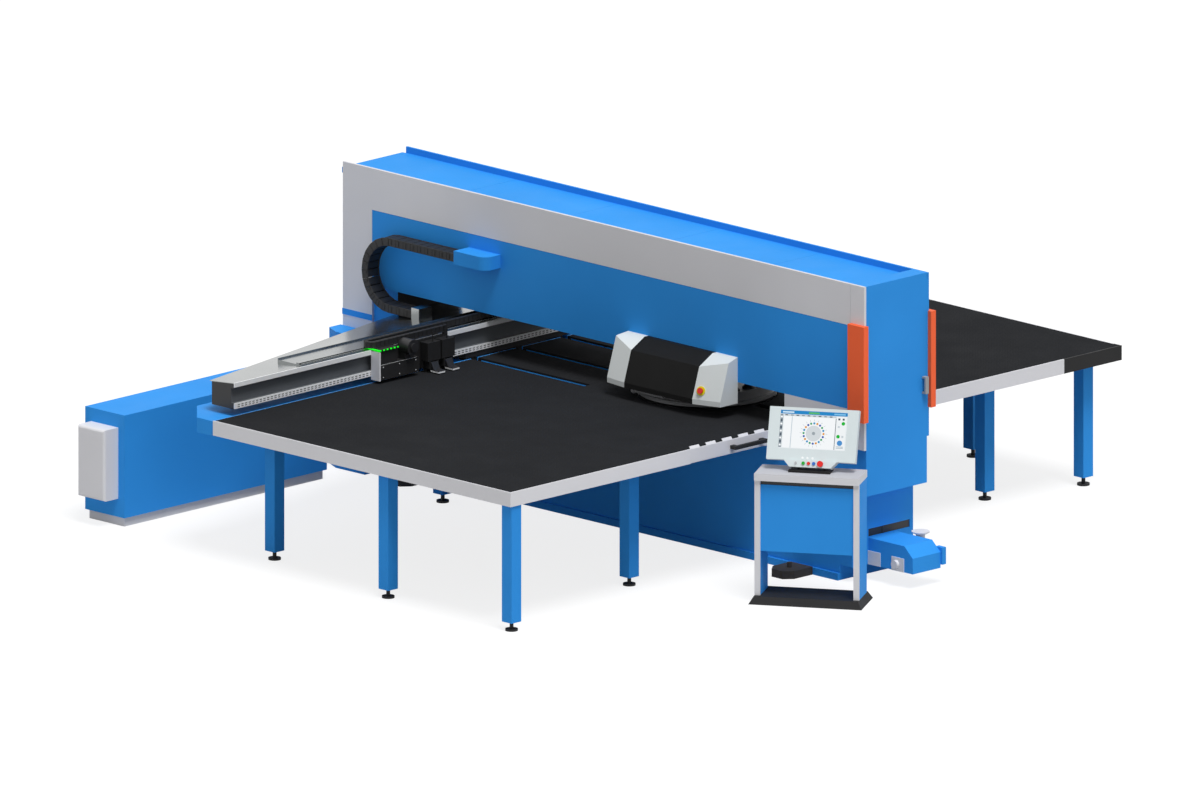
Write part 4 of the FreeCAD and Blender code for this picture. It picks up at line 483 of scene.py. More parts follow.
class Paint(Enum):
    """The finishes that the machine's pieces share."""

    BLUE = PowderCoat("blue powder coat", "#3399ee", "#3093e6", roughness=0.6, level=0.12)
    FRAME = PlacedCoat("blue powder coat, dark throat", "#3399ee", "#3093e6", roughness=0.6, level=0.12,
                       places=(((-1.930, -0.279, 0.797), (1.704, 0.279, 1.247), "#37393c"),))
    FASCIA = PowderCoat("light grey powder coat", "#e2e2e6", "#dcdce0")
    TRIM = PlacedCoat("white table band coat", "#e4e4e8", "#dedee2",
                      places=(((1.6, 2.297, 0.8), (1.8, 3.0, 1.0), "#1b1b1c"),
                              ((-1.2, -2.8195, 0.8), (-1.0785, 3.0, 1.0), "#3096ea")))
    # The box over the desk's top face paints shade from the monitor panel above it.
    DESK = PlacedCoat("white desk coat, painted shade on top", "#e2e2e6", "#dcdce0",
                      places=(((2.0, -1.4, 0.8738), (3.0, -0.3, 0.88), "#bcbdc3"),))
    HOOD_GREY = PowderCoat("pearl grey hood coat", "#dfe4e4", "#d9dede")
    ORANGE = PowderCoat("orange powder coat", "#ff6e40", "#fa683a")
    BLACK = PowderCoat("black fine texture coat", "#232324", "#1e1e1f", roughness=0.62, grain_mm=5.0)
    HOOD_BLACK = PowderCoat("black hood coat", "#121212", "#101010", roughness=0.6, level=0.15)
    BEAM = PlacedCoat("dark grey beam coat", "#5b5f64", "#53575b", roughness=0.35, level=0.45,
                      places=(((-1.4, -2.7, 0.9), (-1.0, -2.6275, 1.3), "#1b1b1c"),))
    DECK = BrushField("black brush table top", "#242527", "#212224")
    DARK_STEEL = PowderCoat("blackened tool steel", "#2a2a2c", "#222224", roughness=0.4, level=0.4)
    RING = PowderCoat("phosphated turret steel", "#8a8b8d", "#808183", roughness=0.45, level=0.4)
    CAST = PowderCoat("cast iron floor pad", "#4a4746", "#413e3d", roughness=0.75, level=0.15)
    BRIGHT = GroundSteel("ground bearing steel", "#c9cbce", "#bdbfc2")
    # Near-white with little metal: the bright sheen of the ground steel is painted into the colour.
    RAIL = GroundSteel("ground rail steel, painted sheen", "#f2f3f5", "#e9eaec", roughness=0.4, metallic=0.1)
    # Dark dashes that paint the shade inside the rack's gaps.
    RACK_SHADE = PowderCoat("shaded rack gap", "#55575a", "#4d4f52", roughness=0.6)
    JAW = PlacedCoat("blackened jaw, ground tip", "#2a2a2c", "#242426", roughness=0.4, level=0.4,
                     places=(((-1.2, -1.0, 0.9), (-0.9, -0.6, 0.968), "#e9eaec"),))
    COVER = GroundSteel("rolled aluminium cover sheet", "#a8abab", "#9fa2a2", roughness=0.22)
    CHAIN = MouldedPlastic("black chain polyamide", "#242425", "#1d1d1e")
    RUBBER = MouldedPlastic("black moulded plastic", "#222224", "#1b1b1d", roughness=0.7)
    GRIP = MouldedPlastic("grey moulded grip", "#a3a4a6", "#9b9c9e", roughness=0.6)
    HOUSING = MouldedPlastic("light moulded housing", "#dbe5e7", "#d5dfe1", roughness=0.45)
    KEYS = MouldedPlastic("white key cap", "#f7fafb", "#f2f5f6", roughness=0.4)
    GLASS = MouldedPlastic("dark display glass", "#2a3038", "#242a32", roughness=0.15, level=0.5)
    PICTURE = PrintedPicture("lit display picture", "#08090a", "#060708", roughness=0.35, level=0.1)
    LAMP = LitPlastic("green lamp diffuser", "#14e01e", "#12cc1a", roughness=0.3)
    RED = MouldedPlastic("red gloss cap", "#f01c14", "#dc1811", roughness=0.25, level=0.5)
    GREEN = MouldedPlastic("green gloss cap", "#18b030", "#159a2a", roughness=0.25, level=0.5)
    BLUE_CAP = MouldedPlastic("blue gloss cap", "#2f74d0", "#2a69bd", roughness=0.25, level=0.5)
    YELLOW = MouldedPlastic("yellow legend disc", "#f4e61a", "#e6d916", roughness=0.4)

    def material(self) -> bpy.types.Material:
        """Gives the finish's material."""
        return self.value.material()


def painted(**finishes: Paint) -> Any:
    """Makes a dataclass field that holds the finish of each named node."""
    return field(default_factory=lambda: dict(finishes))


def dress(frame: dict[str, Any], finishes: dict[str, Paint]) -> None:
    """Gives carried-over solids their finish.

    Args:
        finishes: The finish of each node.
    """
    for node, finish in finishes.items():
        slots = frame["nodes"][node].data.materials
        slots.clear()
        slots.append(finish.material())
        LOG.info("%s: %s", node, finish.value.name)


# ---------------- sub-assemblies

@dataclass
class Bridge:
    """The O-frame, its covers, guards and floor pads."""

    finishes: dict[str, Paint] = painted(
        bridge_frame=Paint.FRAME, floor_pads=Paint.CAST, fascia_surround=Paint.FASCIA,
        fascia_panel=Paint.BLUE, rear_panel=Paint.BLUE, top_covers=Paint.BLUE, end_covers=Paint.BLUE,
        light_guards=Paint.ORANGE, grab_handles=Paint.GRIP, inner_drives=Paint.DARK_STEEL,
        turret_mounts=Paint.DARK_STEEL)
    recess_low: Point = (2.2822, -0.132, 0.289)
    recess_high: Point = (2.2850, 0.249, 0.339)
    bar_y: Pair = (-0.003, 0.017)
    apron_low: Point = (-1.920, 0.2765, 0.8003)
    apron_high: Point = (-1.095, 0.2790, 0.9450)
    bar_deep: float = 0.004
    edge: float = 0.0005

    def build(self, frame: dict[str, Any]) -> None:
        """Dresses the bridge, and adds the throat's rear apron and the painted shade in the slug recess."""
        dress(frame, self.finishes)
        piece("throat_rear_apron", block(self.apron_low, self.apron_high, self.edge), "machine",
              Paint.DARK_STEEL)
        # A dark sheet in the slug recess paints its shade; a dark bar runs along its edge.
        low, high = self.recess_low, self.recess_high
        bar = block((high[0], self.bar_y[0], low[2]), (high[0] + self.bar_deep, self.bar_y[1], high[2]),
                    self.edge)
        piece("slug_recess_shade", [block(low, high, self.edge), bar], "machine", Paint.DARK_STEEL)


@dataclass
class Turret:
    """Upper and lower turret, tools, ram and hood."""

    finishes: dict[str, Paint] = painted(
        upper_turret=Paint.RING, punch_tools=Paint.DARK_STEEL, lower_turret=Paint.DARK_STEEL,
        punch_ram=Paint.BRIGHT, turret_hood=Paint.HOOD_BLACK, turret_hood_ends=Paint.HOOD_GREY,
        hood_stop_button=Paint.RED)
    collar: Point = (1.096068, -0.490948, 1.124576)
    collar_axis: Point = (0.291942, -0.912899, 0.285281)
    collar_radii: Pair = (0.0108, 0.0310)
    collar_heights: Pair = (0.0002, 0.0046)

    def build(self, frame: dict[str, Any]) -> None:
        """Dresses the turret and lays the yellow legend washer behind the hood's stop button."""
        dress(frame, self.finishes)
        inner, outer = self.collar_radii
        low, high = self.collar_heights
        washer = turned([(inner, low), (outer, low), (outer, high), (inner, high)], [self.collar],
                        self.collar_axis, steps=40)
        piece("hood_stop_legend", washer, "machine", Paint.YELLOW, looped=True)


@dataclass
class BrushTable:
    """Brush table with its edge band, legs and drop flap."""

    finishes: dict[str, Paint] = painted(
        brush_decks=Paint.DECK, table_edge=Paint.TRIM, table_frame=Paint.BLUE, table_legs=Paint.BLUE,
        levelling_feet=Paint.RUBBER, side_beams=Paint.BLUE, guide_rails=Paint.BRIGHT,
        drop_flap=Paint.FASCIA, flap_handle=Paint.RUBBER)
    slot_walls: tuple[float, ...] = (-0.385, 0.030, 0.445)
    liner_x: Pair = (-1.045, -0.038)
    liner_z: Pair = (0.9215, 0.936)
    liner_thick: float = 0.0014
    liner_sunk: float = 0.0002
    liner_edge: float = 0.0004

    def build(self, frame: dict[str, Any]) -> None:
        """Dresses the table and fits the thin blue liners on the far walls of the deck's slots."""
        dress(frame, self.finishes)
        wall = np.array(self.slot_walls)
        low = rows(self.liner_x[0], wall - self.liner_thick, self.liner_z[0])
        high = rows(self.liner_x[1], wall + self.liner_sunk, self.liner_z[1])
        piece("slot_liners", block(low, high, self.liner_edge), "machine", Paint.BLUE)


@dataclass
class EnergyChain:
    """An energy chain of moulded links, with a straight run above, a bend and a run below."""

    name: str
    pitch: float
    thick: float
    side_wall: float
    plate_end: float = 0.985  # the rest of the pitch is the gap to the next link
    lid_span: Pair = (0.03, 0.93)
    lid_share: float = 0.24
    inset_share: float = 0.06
    boss_span: Pair = (0.04, 0.40)
    boss_share: float = 0.3
    boss_margin: float = 0.16
    edge_share: float = 0.04

    def straight(self, label: str, start: Point, stop: Point, across: Sequence[float],
                 width: float, up: Sequence[float] = (0, 0, 1)) -> np.ndarray:
        """Works out the links of a straight run.

        Each link has two side plates with a hair's gap to the next, a lid nearly as long as its
        pitch on each face, and a raised boss over the joint on each side plate.

        Args:
            label: Name of the run, for the log.
            start: Lowest corner at the run's start.
            stop: The same corner at its end.
            across: Direction of the chain's width.
            width: The chain's width.
            up: Direction of the chain's thickness.

        Returns:
            Bricks as rings.
        """
        first, last = np.asarray(start, float), np.asarray(stop, float)
        length = float(np.linalg.norm(last - first))
        along = (last - first) / length
        count = max(2, round(length / self.pitch))
        step = length / count
        wide = np.asarray(across, float)
        rise = np.asarray(up, float)
        origin = first + (np.arange(count)[:, None] * step) * along
        thick, wall, inset = self.thick, self.side_wall, self.inset_share * self.thick
        bosses = self.boss_share * wall
        lid_start, lid_stop = self.lid_span
        boss_start, boss_stop = self.boss_span
        boss_low, boss_high = self.boss_margin * thick, (1 - self.boss_margin) * thick
        shapes = [  # along as a share of the pitch, then across and up
            (0.0, self.plate_end, bosses, wall, 0.0, thick),
            (0.0, self.plate_end, width - wall, width - bosses, 0.0, thick),
            (lid_start, lid_stop, wall, width - wall, inset, self.lid_share * thick),
            (lid_start, lid_stop, wall, width - wall, (1 - self.lid_share) * thick, thick - inset),
            (boss_start, boss_stop, 0.0, bosses, boss_low, boss_high),
            (boss_start, boss_stop, width - bosses, width, boss_low, boss_high)]
        low = np.concatenate([origin + along * a * step + wide * c + rise * e
                              for a, _, c, _, e, _ in shapes])
        high = np.concatenate([origin + along * b * step + wide * d + rise * f
                               for _, b, _, d, _, f in shapes])
        LOG.info("%s %s: %d links of %.0f mm", self.name, label, count, step * 1000)
        return block(np.minimum(low, high), np.maximum(low, high), self.edge_share * thick)

    def bend(self, centre: Point, radius: float, half_turn: Pair,
             across: Sequence[float], width: float, forward: Sequence[float],
             up: Sequence[float] = (0, 0, 1)) -> np.ndarray:
        """Works out the links of the bend: bricks turned round the bend's centre.

        A brick's points are read as (turn, across, depth): the angle is the first value over the
        radius, and the distance from the centre is radius minus depth.

        Args:
            centre: Centre of the bend at the low side of the width.
            radius: Outer radius.
            half_turn: First and last angle in degrees, from the forward direction up.
            across: Direction of the chain's width.
            width: The chain's width.
            forward: Direction that angle 0 points in.
            up: Direction that 90 degrees points in.

        Returns:
            Bricks as rings.
        """
        start, stop = (math.radians(a) for a in half_turn)
        arc = radius * (stop - start)
        flat = self.straight("bend", (0, 0, 0), (arc, 0, 0), (0, 1, 0), width)
        turn = start + flat[..., 0:1] / radius
        reach = radius - self.thick + flat[..., 2:3]
        ahead, rise, wide = (np.asarray(v, float) for v in (forward, up, across))
        rings = (np.asarray(centre, float) + reach * np.cos(turn) * ahead + reach * np.sin(turn) * rise
                 + flat[..., 1:2] * wide)
        mirrored = np.dot(np.cross(rise, wide), ahead) < 0
        return rings[:, :, ::-1] if mirrored else rings


@dataclass
class ClampBeam:
    """Beam with its rails, cover, posts and the two energy chains."""

    # The beam rails' near-white coat is painted sheen of ground steel.
    finishes: dict[str, Paint] = painted(
        clamp_beam=Paint.BEAM, beam_rails=Paint.RAIL, beam_cover=Paint.COVER, beam_structure=Paint.BLACK,
        chain_bracket=Paint.BLUE)
    big: EnergyChain = field(default_factory=lambda: EnergyChain("bridge chain", 0.068, 0.055, 0.012))
    small: EnergyChain = field(default_factory=lambda: EnergyChain("beam chain", 0.04, 0.028, 0.006))
    big_side: float = -0.444  # Y of its front side
    big_width: float = 0.120
    big_bend_x: float = -1.852
    big_bend_z: float = 1.376
    big_radius: float = 0.253
    big_fixed_x: float = -1.246
    big_clamp_x: float = -1.638
    small_low: float = 1.180  # Z of its lower side
    small_width: float = 0.045
    small_bend_x: float = -1.1187
    small_bend_y: float = -1.334
    small_radius: float = 0.050
    small_turn: float = 2.40  # 0.75 of the carriage's 3.16 m of travel or more, or the run folds over
    beam_travel: float = 1.05
    small_fixed_y: float = 0.8
    small_moving_y: float = -0.708
    rack_face: float = -1.088
    rack_rows: Pair = (1.001, 1.014)
    rack_end: float = 2.60
    rack_pitch: float = 0.034
    gap_share: float = 0.58
    gap_tall: float = 0.006
    gap_deep: float = 0.002
    gap_proud: float = 0.00015
    gap_edge: float = 0.0001

    def build(self, frame: dict[str, Any]) -> None:
        """Dresses the beam and makes its chains and its rack."""
        dress(frame, self.finishes)
        self.bridge_chain()
        self.beam_chain()
        self.rack()

    def rack(self) -> None:
        """Painted shade in the gaps between the rack's teeth: two rows of dark dashes, flush on the lower
        rail's face.
        """
        y = np.arange(-self.rack_end, self.rack_end, self.rack_pitch)
        y, z = (grid.ravel() for grid in np.meshgrid(y, np.array(self.rack_rows)))
        low = rows(self.rack_face - self.gap_deep, y, z)
        high = rows(self.rack_face + self.gap_proud, y + self.gap_share * self.rack_pitch,
                    z + self.gap_tall)
        piece("rack_gaps", block(low, high, self.gap_edge), "beam", Paint.RACK_SHADE)

    def bridge_chain(self) -> None:
        """Chain in front of the fascia, whose bend moves half as far as the beam."""
        across = (0.0, 1.0, 0.0)
        high = self.big_bend_z + self.big_radius - self.big.thick
        low = self.big_bend_z - self.big_radius
        top = piece("chain_links_top", self.big.straight(
            "top run", (self.big_bend_x, self.big_side, high), (self.big_fixed_x, self.big_side, high),
            across, self.big_width), "machine", Paint.CHAIN)
        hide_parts("bridge_chain_top")
        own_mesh(top)
        bend = piece("chain_links_bend", self.big.bend(
            (self.big_bend_x, self.big_side, self.big_bend_z), self.big_radius, (90.0, 270.0), across,
            self.big_width, (1, 0, 0)), "bridge_chain_loop", Paint.CHAIN)
        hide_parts("bridge_chain_bend")
        run = piece("chain_links_low", self.big.straight(
            "low run", (self.big_bend_x, self.big_side, low), (self.big_clamp_x, self.big_side, low),
            across, self.big_width), None, Paint.CHAIN)
        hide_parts("bridge_chain_low")
        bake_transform(run)

    def beam_chain(self) -> None:
        """Chain that lies on its side, whose bend moves half as far as the carriage."""
        across, right, low = (0.0, 0.0, 1.0), (1.0, 0.0, 0.0), self.small_low
        left_x = self.small_bend_x - self.small_radius
        right_x = self.small_bend_x + self.small_radius - self.small.thick
        run = piece("small_links_low", self.small.straight(
            "fixed run", (left_x, self.small_bend_y, low), (left_x, self.small_fixed_y, low), across,
            self.small_width, right), None, Paint.CHAIN)
        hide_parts("beam_chain_low")
        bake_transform(run)
        bend = piece("small_links_bend", self.small.bend(
            (self.small_bend_x, self.small_bend_y, low), self.small_radius, (-90.0, 90.0), across,
            self.small_width, (0, -1, 0), right), "beam_chain_loop", Paint.CHAIN)
        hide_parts("beam_chain_bend")
        top = piece("small_links_top", self.small.straight(
            "moving run", (right_x, self.small_bend_y, low), (right_x, self.small_moving_y, low), across,
            self.small_width, right), None, Paint.CHAIN)
        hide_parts("beam_chain_top")
        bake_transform(top)


@dataclass
class Carriage:
    """Carriage with its drive, lamp strip and sheet clamps."""

    finishes: dict[str, Paint] = painted(
        carriage_body=Paint.BLACK, carriage_end_plate=Paint.FASCIA, carriage_lamp=Paint.LAMP,
        carriage_drive=Paint.DARK_STEEL, clamp_bodies=Paint.BLACK, clamp_jaw_1=Paint.JAW,
        clamp_jaw_2=Paint.JAW)
    face_x: float = -1.0097
    front_y: float = -1.366
    back_y: float = -1.188
    lamp_z: Pair = (1.171, 1.179)
    lamp_left: float = -1.118
    seam_z: float = 1.078
    bolt_y: tuple[float, ...] = (-1.330, -1.180, -1.030)
    bolt_z: tuple[float, ...] = (0.993, 1.060)
    bolt_radius: float = 0.0035
    shades: int = 5
    shade_from: float = 0.6  # pitches from the front edge to the first shade
    shade_share: float = 0.5
    end_inset: float = 0.012
    lid_inset: float = 0.001  # from the lamp's left side, and down into it
    lid_proud: float = 0.0007
    lid_back: float = 0.006
    shade_back: float = 0.007
    shade_proud: float = 0.0004
    shade_low: float = 0.0003
    seam_deep: float = 0.002
    seam_proud: float = 0.0006
    seam_tall: float = 0.0015
    seam_past: float = 0.01  # beyond the last bolt
    edge: float = 0.0003

    def build(self, frame: dict[str, Any]) -> None:
        """Dresses the carriage and adds the lamp's lid and shades, the seam and the bolts.

        A bolt's head starts under the skin, is 0.6 of its radius high and has a bevelled rim.
        """
        dress(frame, self.finishes)
        low, high = self.lamp_z
        front = self.front_y + self.end_inset
        lid = block((self.lamp_left + self.lid_inset, front, high - self.lid_inset),
                    (self.face_x - self.lid_back, self.back_y, high + self.lid_proud), self.edge)
        pitch = (self.back_y - self.front_y) / (self.shades + 0.5)
        start = self.front_y + pitch * (self.shade_from + np.arange(self.shades))
        shades = block(rows(self.face_x - self.shade_back, start, low - self.shade_low),
                       rows(self.face_x + self.shade_proud, start + self.shade_share * pitch,
                            high + self.lid_proud), self.edge)
        piece("lamp_lid", [lid, shades], "carriage", Paint.BLACK)
        y, z = (grid.ravel() for grid in np.meshgrid(self.bolt_y, self.bolt_z))
        radius, tall = self.bolt_radius, 0.6 * self.bolt_radius
        heads = turned([(radius, -0.0005), (radius, 0.7 * tall), (0.8 * radius, tall)],
                       rows(self.face_x, y, z), (1, 0, 0), steps=12)
        seam = block((self.face_x - self.seam_deep, front, self.seam_z - self.seam_tall),
                     (self.face_x + self.seam_proud, self.bolt_y[-1] + self.seam_past, self.seam_z),
                     self.edge)
        # Bolt heads and seam take the rail coat, whose near-white colour is painted sheen.
        piece("carriage_bolts", [heads, seam], "carriage", Paint.RAIL)


@dataclass
class SideUnits:
    """Electrical cabinet and slug conveyor."""

    finishes: dict[str, Paint] = painted(
        cabinet_body=Paint.BLUE, cabinet_trim=Paint.FASCIA, slug_conveyor=Paint.BLUE,
        conveyor_fittings=Paint.FASCIA)

    def build(self, frame: dict[str, Any]) -> None:
        """Dresses the cabinet and the conveyor."""
        dress(frame, self.finishes)


@dataclass
class Console:
    """Operator console with its tilting monitor and button box."""

    yaw_deg: float = 32.6
    tilt_deg: float = -21.6
    pivot: Point = (2.41219, -0.77565, 0.904)
    screen_size: Pair = (0.448, 0.252)
    screen_low: float = 0.0974
    screen_front: float = -0.060
    tool_places: int = 20
    key_places: tuple[float, ...] = (-0.056, -0.023, 0.011)
    key_height: float = 0.038
    key_outline: tuple[Pair, ...] = ((0.0085, -0.0005), (0.0085, 0.0015), (0.0065, 0.0025))
    layer_base: float = 0.0003
    layer_step: float = 0.0002
    disc_thin: float = 0.0007
    disc_thick: float = 0.0009
    dial_across: float = 0.005
    dial_up: float = 0.42  # share of the picture's height
    dial_radius: float = 0.052
    hub_radius: float = 0.011
    dot_ring: float = 0.067
    dot_radius: float = 0.0075
    spoke_low: Point = (0.079, -0.0009, -0.0007)
    spoke_high: Point = (0.093, 0.0, 0.0007)
    light_radius: float = 0.012
    light_shares: tuple[Pair, ...] = ((0.445, 0.715), (0.38, 0.37))
    gauge_radius: float = 0.018
    gauge_thick: float = 0.0008
    gauge_share: Pair = (0.41, 0.20)
    glass_edge: float = 0.0001
    # The dark brick in the gap between the desk and the case is painted shade.
    gap_shade_edge: float = 0.0005
    gap_shade_low: Point = (-0.3128, -0.0980, 0.7963)
    gap_shade_high: Point = (0.3128, -0.0860, 0.8257)
    foot: Point = (2.438, -0.816, 0.0)
    finishes: dict[str, Paint] = painted(
        console_base=Paint.BLACK, console_body=Paint.BLUE, console_top=Paint.DESK,
        monitor_bezel=Paint.HOUSING, monitor_screen=Paint.GLASS, button_box=Paint.HOUSING,
        green_button=Paint.GREEN, red_button=Paint.RED, blue_button=Paint.BLUE_CAP, key_switch=Paint.BRIGHT,
        panel_stop_button=Paint.RED)

    def on_panel(self, points: np.ndarray) -> np.ndarray:
        """Places points of the panel's own frame: tilted about X, turned about Z, moved to the pivot."""
        yaw, tilt = math.radians(self.yaw_deg), math.radians(self.tilt_deg)
        turn = np.array([[math.cos(yaw), -math.sin(yaw), 0], [math.sin(yaw), math.cos(yaw), 0], [0, 0, 1]])
        lean = np.array([[1, 0, 0], [0, math.cos(tilt), -math.sin(tilt)],
                         [0, math.sin(tilt), math.cos(tilt)]])
        return points @ (turn @ lean).T + np.asarray(self.pivot)

    def build(self, frame: dict[str, Any]) -> None:
        """Dresses the console, draws the display, and adds the painted shade in the gap under the desk and
        the keys.
        """
        dress(frame, self.finishes)
        self.display()
        turn = Matrix.Rotation(math.radians(self.yaw_deg), 3, "Z")
        # Painted shade: a dark brick fills the gap between the desk and the case.
        rail = block(self.gap_shade_low, self.gap_shade_high, self.gap_shade_edge) @ np.array(turn).T
        piece("console_gap_shade", rail + np.array(self.foot), "machine", Paint.DARK_STEEL)
        keys = turned(self.key_outline,
                      [(x, self.screen_front, self.key_height) for x in self.key_places], (0, -1, 0),
                      steps=20)
        piece("bezel_keys", self.on_panel(keys), "monitor", Paint.KEYS)

    def on_picture(self, across: float | np.ndarray, up: float | np.ndarray,
                   rise: float | np.ndarray = 0.0) -> np.ndarray:
        """Places shares of the picture's width and height, lifted rise metres off the glass."""
        wide, tall = self.screen_size
        return rows(across * wide, self.screen_front - rise, self.screen_low + up * tall)

    def disc(self, radius: float, thick: float, centres: Sequence[Sequence[float]],
             steps: int) -> np.ndarray:
        """Works out flat discs that lie on the glass."""
        return turned([(radius, 0.0), (radius, thick)], centres, (0, -1, 0), steps)

    def fields(self) -> list[tuple[float, float, float, float, int, str]]:
        """Lists the page's fields: left, low, right and high as shares, then the layer and colour."""
        white, blue, grey, dark = "#f6f9fb", "#1f86c8", "#c9d2d8", "#4a5661"
        fields = [
            (0.0, 0.0, 1.0, 1.0, 0, "#e9eff2"), (0.0, 0.905, 1.0, 1.0, 1, blue),
            (0.055, 0.02, 0.17, 0.84, 1, white), (0.185, 0.02, 0.825, 0.84, 1, white),
            (0.845, 0.02, 0.985, 0.88, 1, "#f1f5f7"), (0.05, 0.855, 0.835, 0.895, 1, grey),
            (0.0, 0.02, 0.04, 0.895, 1, "#8d99a2"), (0.828, 0.02, 0.836, 0.84, 2, dark),
            (0.172, 0.02, 0.178, 0.84, 2, "#9fb4c2"), (0.03, 0.93, 0.20, 0.97, 2, "#cfe6f4"),
            (0.42, 0.925, 0.58, 0.975, 2, "#58b96a"), (0.80, 0.93, 0.97, 0.97, 2, "#7fc0e8"),
            (0.865, 0.80, 0.895, 0.85, 2, dark), (0.93, 0.80, 0.96, 0.85, 2, dark),
            (0.865, 0.60, 0.895, 0.65, 2, grey), (0.93, 0.34, 0.96, 0.40, 2, grey),
            (0.86, 0.06, 0.965, 0.075, 2, "#8fa3b0"), (0.86, 0.095, 0.965, 0.11, 2, "#8fa3b0")]
        icons = np.arange(9)
        fields += [(0.006, 0.06 + 0.092 * i, 0.034, 0.11 + 0.092 * i, 2, (white, dark)[i % 2])
                   for i in icons]
        fields += [(0.07 + 0.083 * i, 0.862, 0.11 + 0.083 * i, 0.888, 2, (dark, "#7d8b96")[i % 2])
                   for i in icons]
        return fields

    def display(self) -> None:
        """Draws a plain machine page: header, toolbars, side columns, and a ring of tool places.

        Fields are thin bricks on the glass. A tool place k lies at angle 2 pi k / n on the ring,
        with a thin spoke outside it.
        """
        fields = self.fields()
        left, low, right, high, layer = np.array([f[:5] for f in fields]).T
        bricks = block(self.on_picture(left - 0.5, low, self.layer_base + layer * self.layer_step),
                       self.on_picture(right - 0.5, high), self.glass_edge)
        middle = self.on_picture(0.0, self.dial_up) + (self.dial_across, 0.0, 0.0)
        k = np.arange(self.tool_places) * 2 * math.pi / self.tool_places
        spin, square = rows(np.cos(k), 0.0, np.sin(k)), rows(-np.sin(k), 0.0, np.cos(k))
        spoke = block(self.spoke_low, self.spoke_high, self.glass_edge)[0]
        spokes = (middle + spoke[None, ..., 0:1] * spin[:, None, None] + spoke[None, ..., 2:3]
                  * square[:, None, None] + spoke[None, ..., 1:2] * np.array([0.0, 1.0, 0.0]))
        skins = [
            bricks, self.disc(self.dot_radius, self.disc_thick, middle + self.dot_ring * spin, 10), spokes,
            self.disc(self.dial_radius, self.disc_thin, [middle], 48),
            self.disc(self.hub_radius, self.disc_thick, [middle], 16),
            self.disc(self.light_radius, self.disc_thick,
                      [self.on_picture(*share) for share in self.light_shares], 20),
            self.disc(self.gauge_radius, self.gauge_thick, [self.on_picture(*self.gauge_share)], 24)]
        cycle = ["#e0932c", "#2f93c4", "#3fa268", "#3559ad"]
        codes = ([f[5] for f in fields] + [cycle[i % 4] for i in range(self.tool_places)]
                 + ["#8b99a3"] * self.tool_places + ["#d4dade", "#9aa4ab", "#14b434", "#14b434", "#4a90cf"])
        piece("display_picture", [self.on_panel(s) for s in skins], "monitor", Paint.PICTURE,
              np.array([linear(code) for code in codes]))


# ---------------- studio

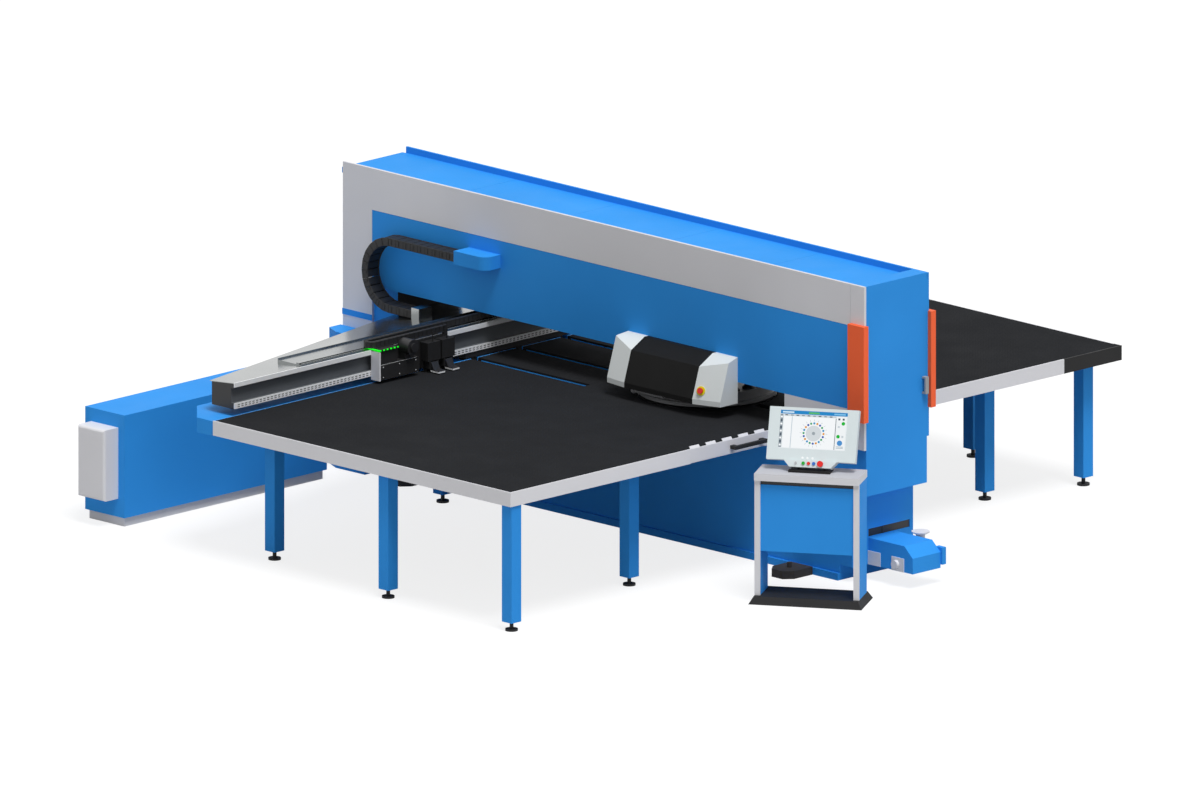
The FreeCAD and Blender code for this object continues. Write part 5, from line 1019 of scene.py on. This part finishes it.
@dataclass
class Studio:
    """Floor, light and camera."""

    azimuth_deg: float = 45.05
    elevation_deg: float = 13.98
    frame_width: float = 7.863
    look_at: Point = (0.5222, -0.8533, 1.0265)
    camera_distance: float = 30.0
    floor_half: float = 120.0
    sky_light: float = 0.44
    lamp_power: float = 2.45
    lamp_from: Point = (0.36, -0.12, 0.92)
    lamp_spread_deg: float = 24.0
    far_clip: float = 400.0
    floor_drop: float = 0.001
    floor_tone: float = 0.5
    seen_tone: float = 0.22
    seen_glow: float = 0.82

    def build(self) -> None:
        """Makes the camera, the light and the floor."""
        self.camera()
        self.light()
        self.floor()

    def camera(self) -> None:
        """Parallel camera at the photograph's angle."""
        side = math.radians(self.azimuth_deg)
        rise = math.radians(self.elevation_deg)
        right = Vector((math.cos(side), math.sin(side), 0))
        back = Vector((math.sin(side) * math.cos(rise), -math.cos(side) * math.cos(rise), math.sin(rise)))
        up = back.cross(right)
        data = bpy.data.cameras.new("camera")
        data.type = "ORTHO"
        data.ortho_scale = self.frame_width
        data.clip_end = self.far_clip
        made = placed("camera", data)
        turn = Matrix((right, up, back)).transposed().to_4x4()
        made.matrix_world = Matrix.Translation(Vector(self.look_at) + back * self.camera_distance) @ turn
        bpy.context.scene.camera = made

    def seen(self, tree: Tree) -> Socket:
        """One for rays that show a surface to the eye: camera, glossy and transmission rays."""
        rays = add_node(tree, "ShaderNodeLightPath")
        direct = add_node(tree, "ShaderNodeMath", {"operation": "MAXIMUM"},
                          i0=rays.outputs["Is Camera Ray"], i1=rays.outputs["Is Glossy Ray"])
        shown = add_node(tree, "ShaderNodeMath", {"operation": "MAXIMUM"}, i0=direct,
                         i1=rays.outputs["Is Transmission Ray"])
        return shown.outputs[0]

    def light(self) -> None:
        """Even pale surroundings and one large soft lamp high on the right."""
        scene = bpy.context.scene
        scene.view_settings.view_transform = "Standard"
        world = bpy.data.worlds.new("studio")
        scene.world = world
        tree = cleared(world)
        strength = add_node(tree, "ShaderNodeMapRange", None, Value=self.seen(tree),
                            To_Min=self.sky_light, To_Max=1.0)
        sky = add_node(tree, "ShaderNodeBackground", None, Color=(1, 1, 1, 1), Strength=strength)
        add_node(tree, "ShaderNodeOutputWorld", None, Surface=sky)
        data = bpy.data.lights.new("soft lamp", "SUN")
        data.energy = self.lamp_power
        data.angle = math.radians(self.lamp_spread_deg)
        lamp = placed("soft lamp", data)
        lamp.rotation_euler = Vector(self.lamp_from).to_track_quat("Z", "Y").to_euler()

    def floor(self) -> None:
        """White floor that keeps a light shadow."""
        h, z = self.floor_half, -self.floor_drop
        mesh = bpy.data.meshes.new("studio_floor")
        mesh.from_pydata([(-h, -h, z), (h, -h, z), (h, h, z), (-h, h, z)], [], [(0, 1, 2, 3)])
        floor = placed("studio_floor", mesh)
        made = bpy.data.materials.new("white studio floor")
        tree = cleared(made)
        tones = [add_node(tree, "ShaderNodeBsdfDiffuse", None, Color=(tone, tone, tone, 1))
                 for tone in (self.floor_tone, self.seen_tone)]
        glow = add_node(tree, "ShaderNodeEmission", None, Color=(1, 1, 1, 1), Strength=self.seen_glow)
        both = add_node(tree, "ShaderNodeAddShader", None, i0=tones[1], i1=glow)
        mixed = add_node(tree, "ShaderNodeMixShader", None, i0=self.seen(tree), i1=tones[0], i2=both)
        add_node(tree, "ShaderNodeOutputMaterial", None, Surface=mixed)
        floor.data.materials.append(made)


def main() -> None:
    """Builds the studio and the machine in order."""
    logging.basicConfig(level=logging.INFO, format="%(name)s %(message)s")
    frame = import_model()
    Studio().build()
    for part in (Bridge(), Turret(), BrushTable(), ClampBeam(), Carriage(), SideUnits(), Console()):
        LOG.info("building %s", type(part).__name__)
        part.build(frame)


if __name__ == "__main__":
    main()
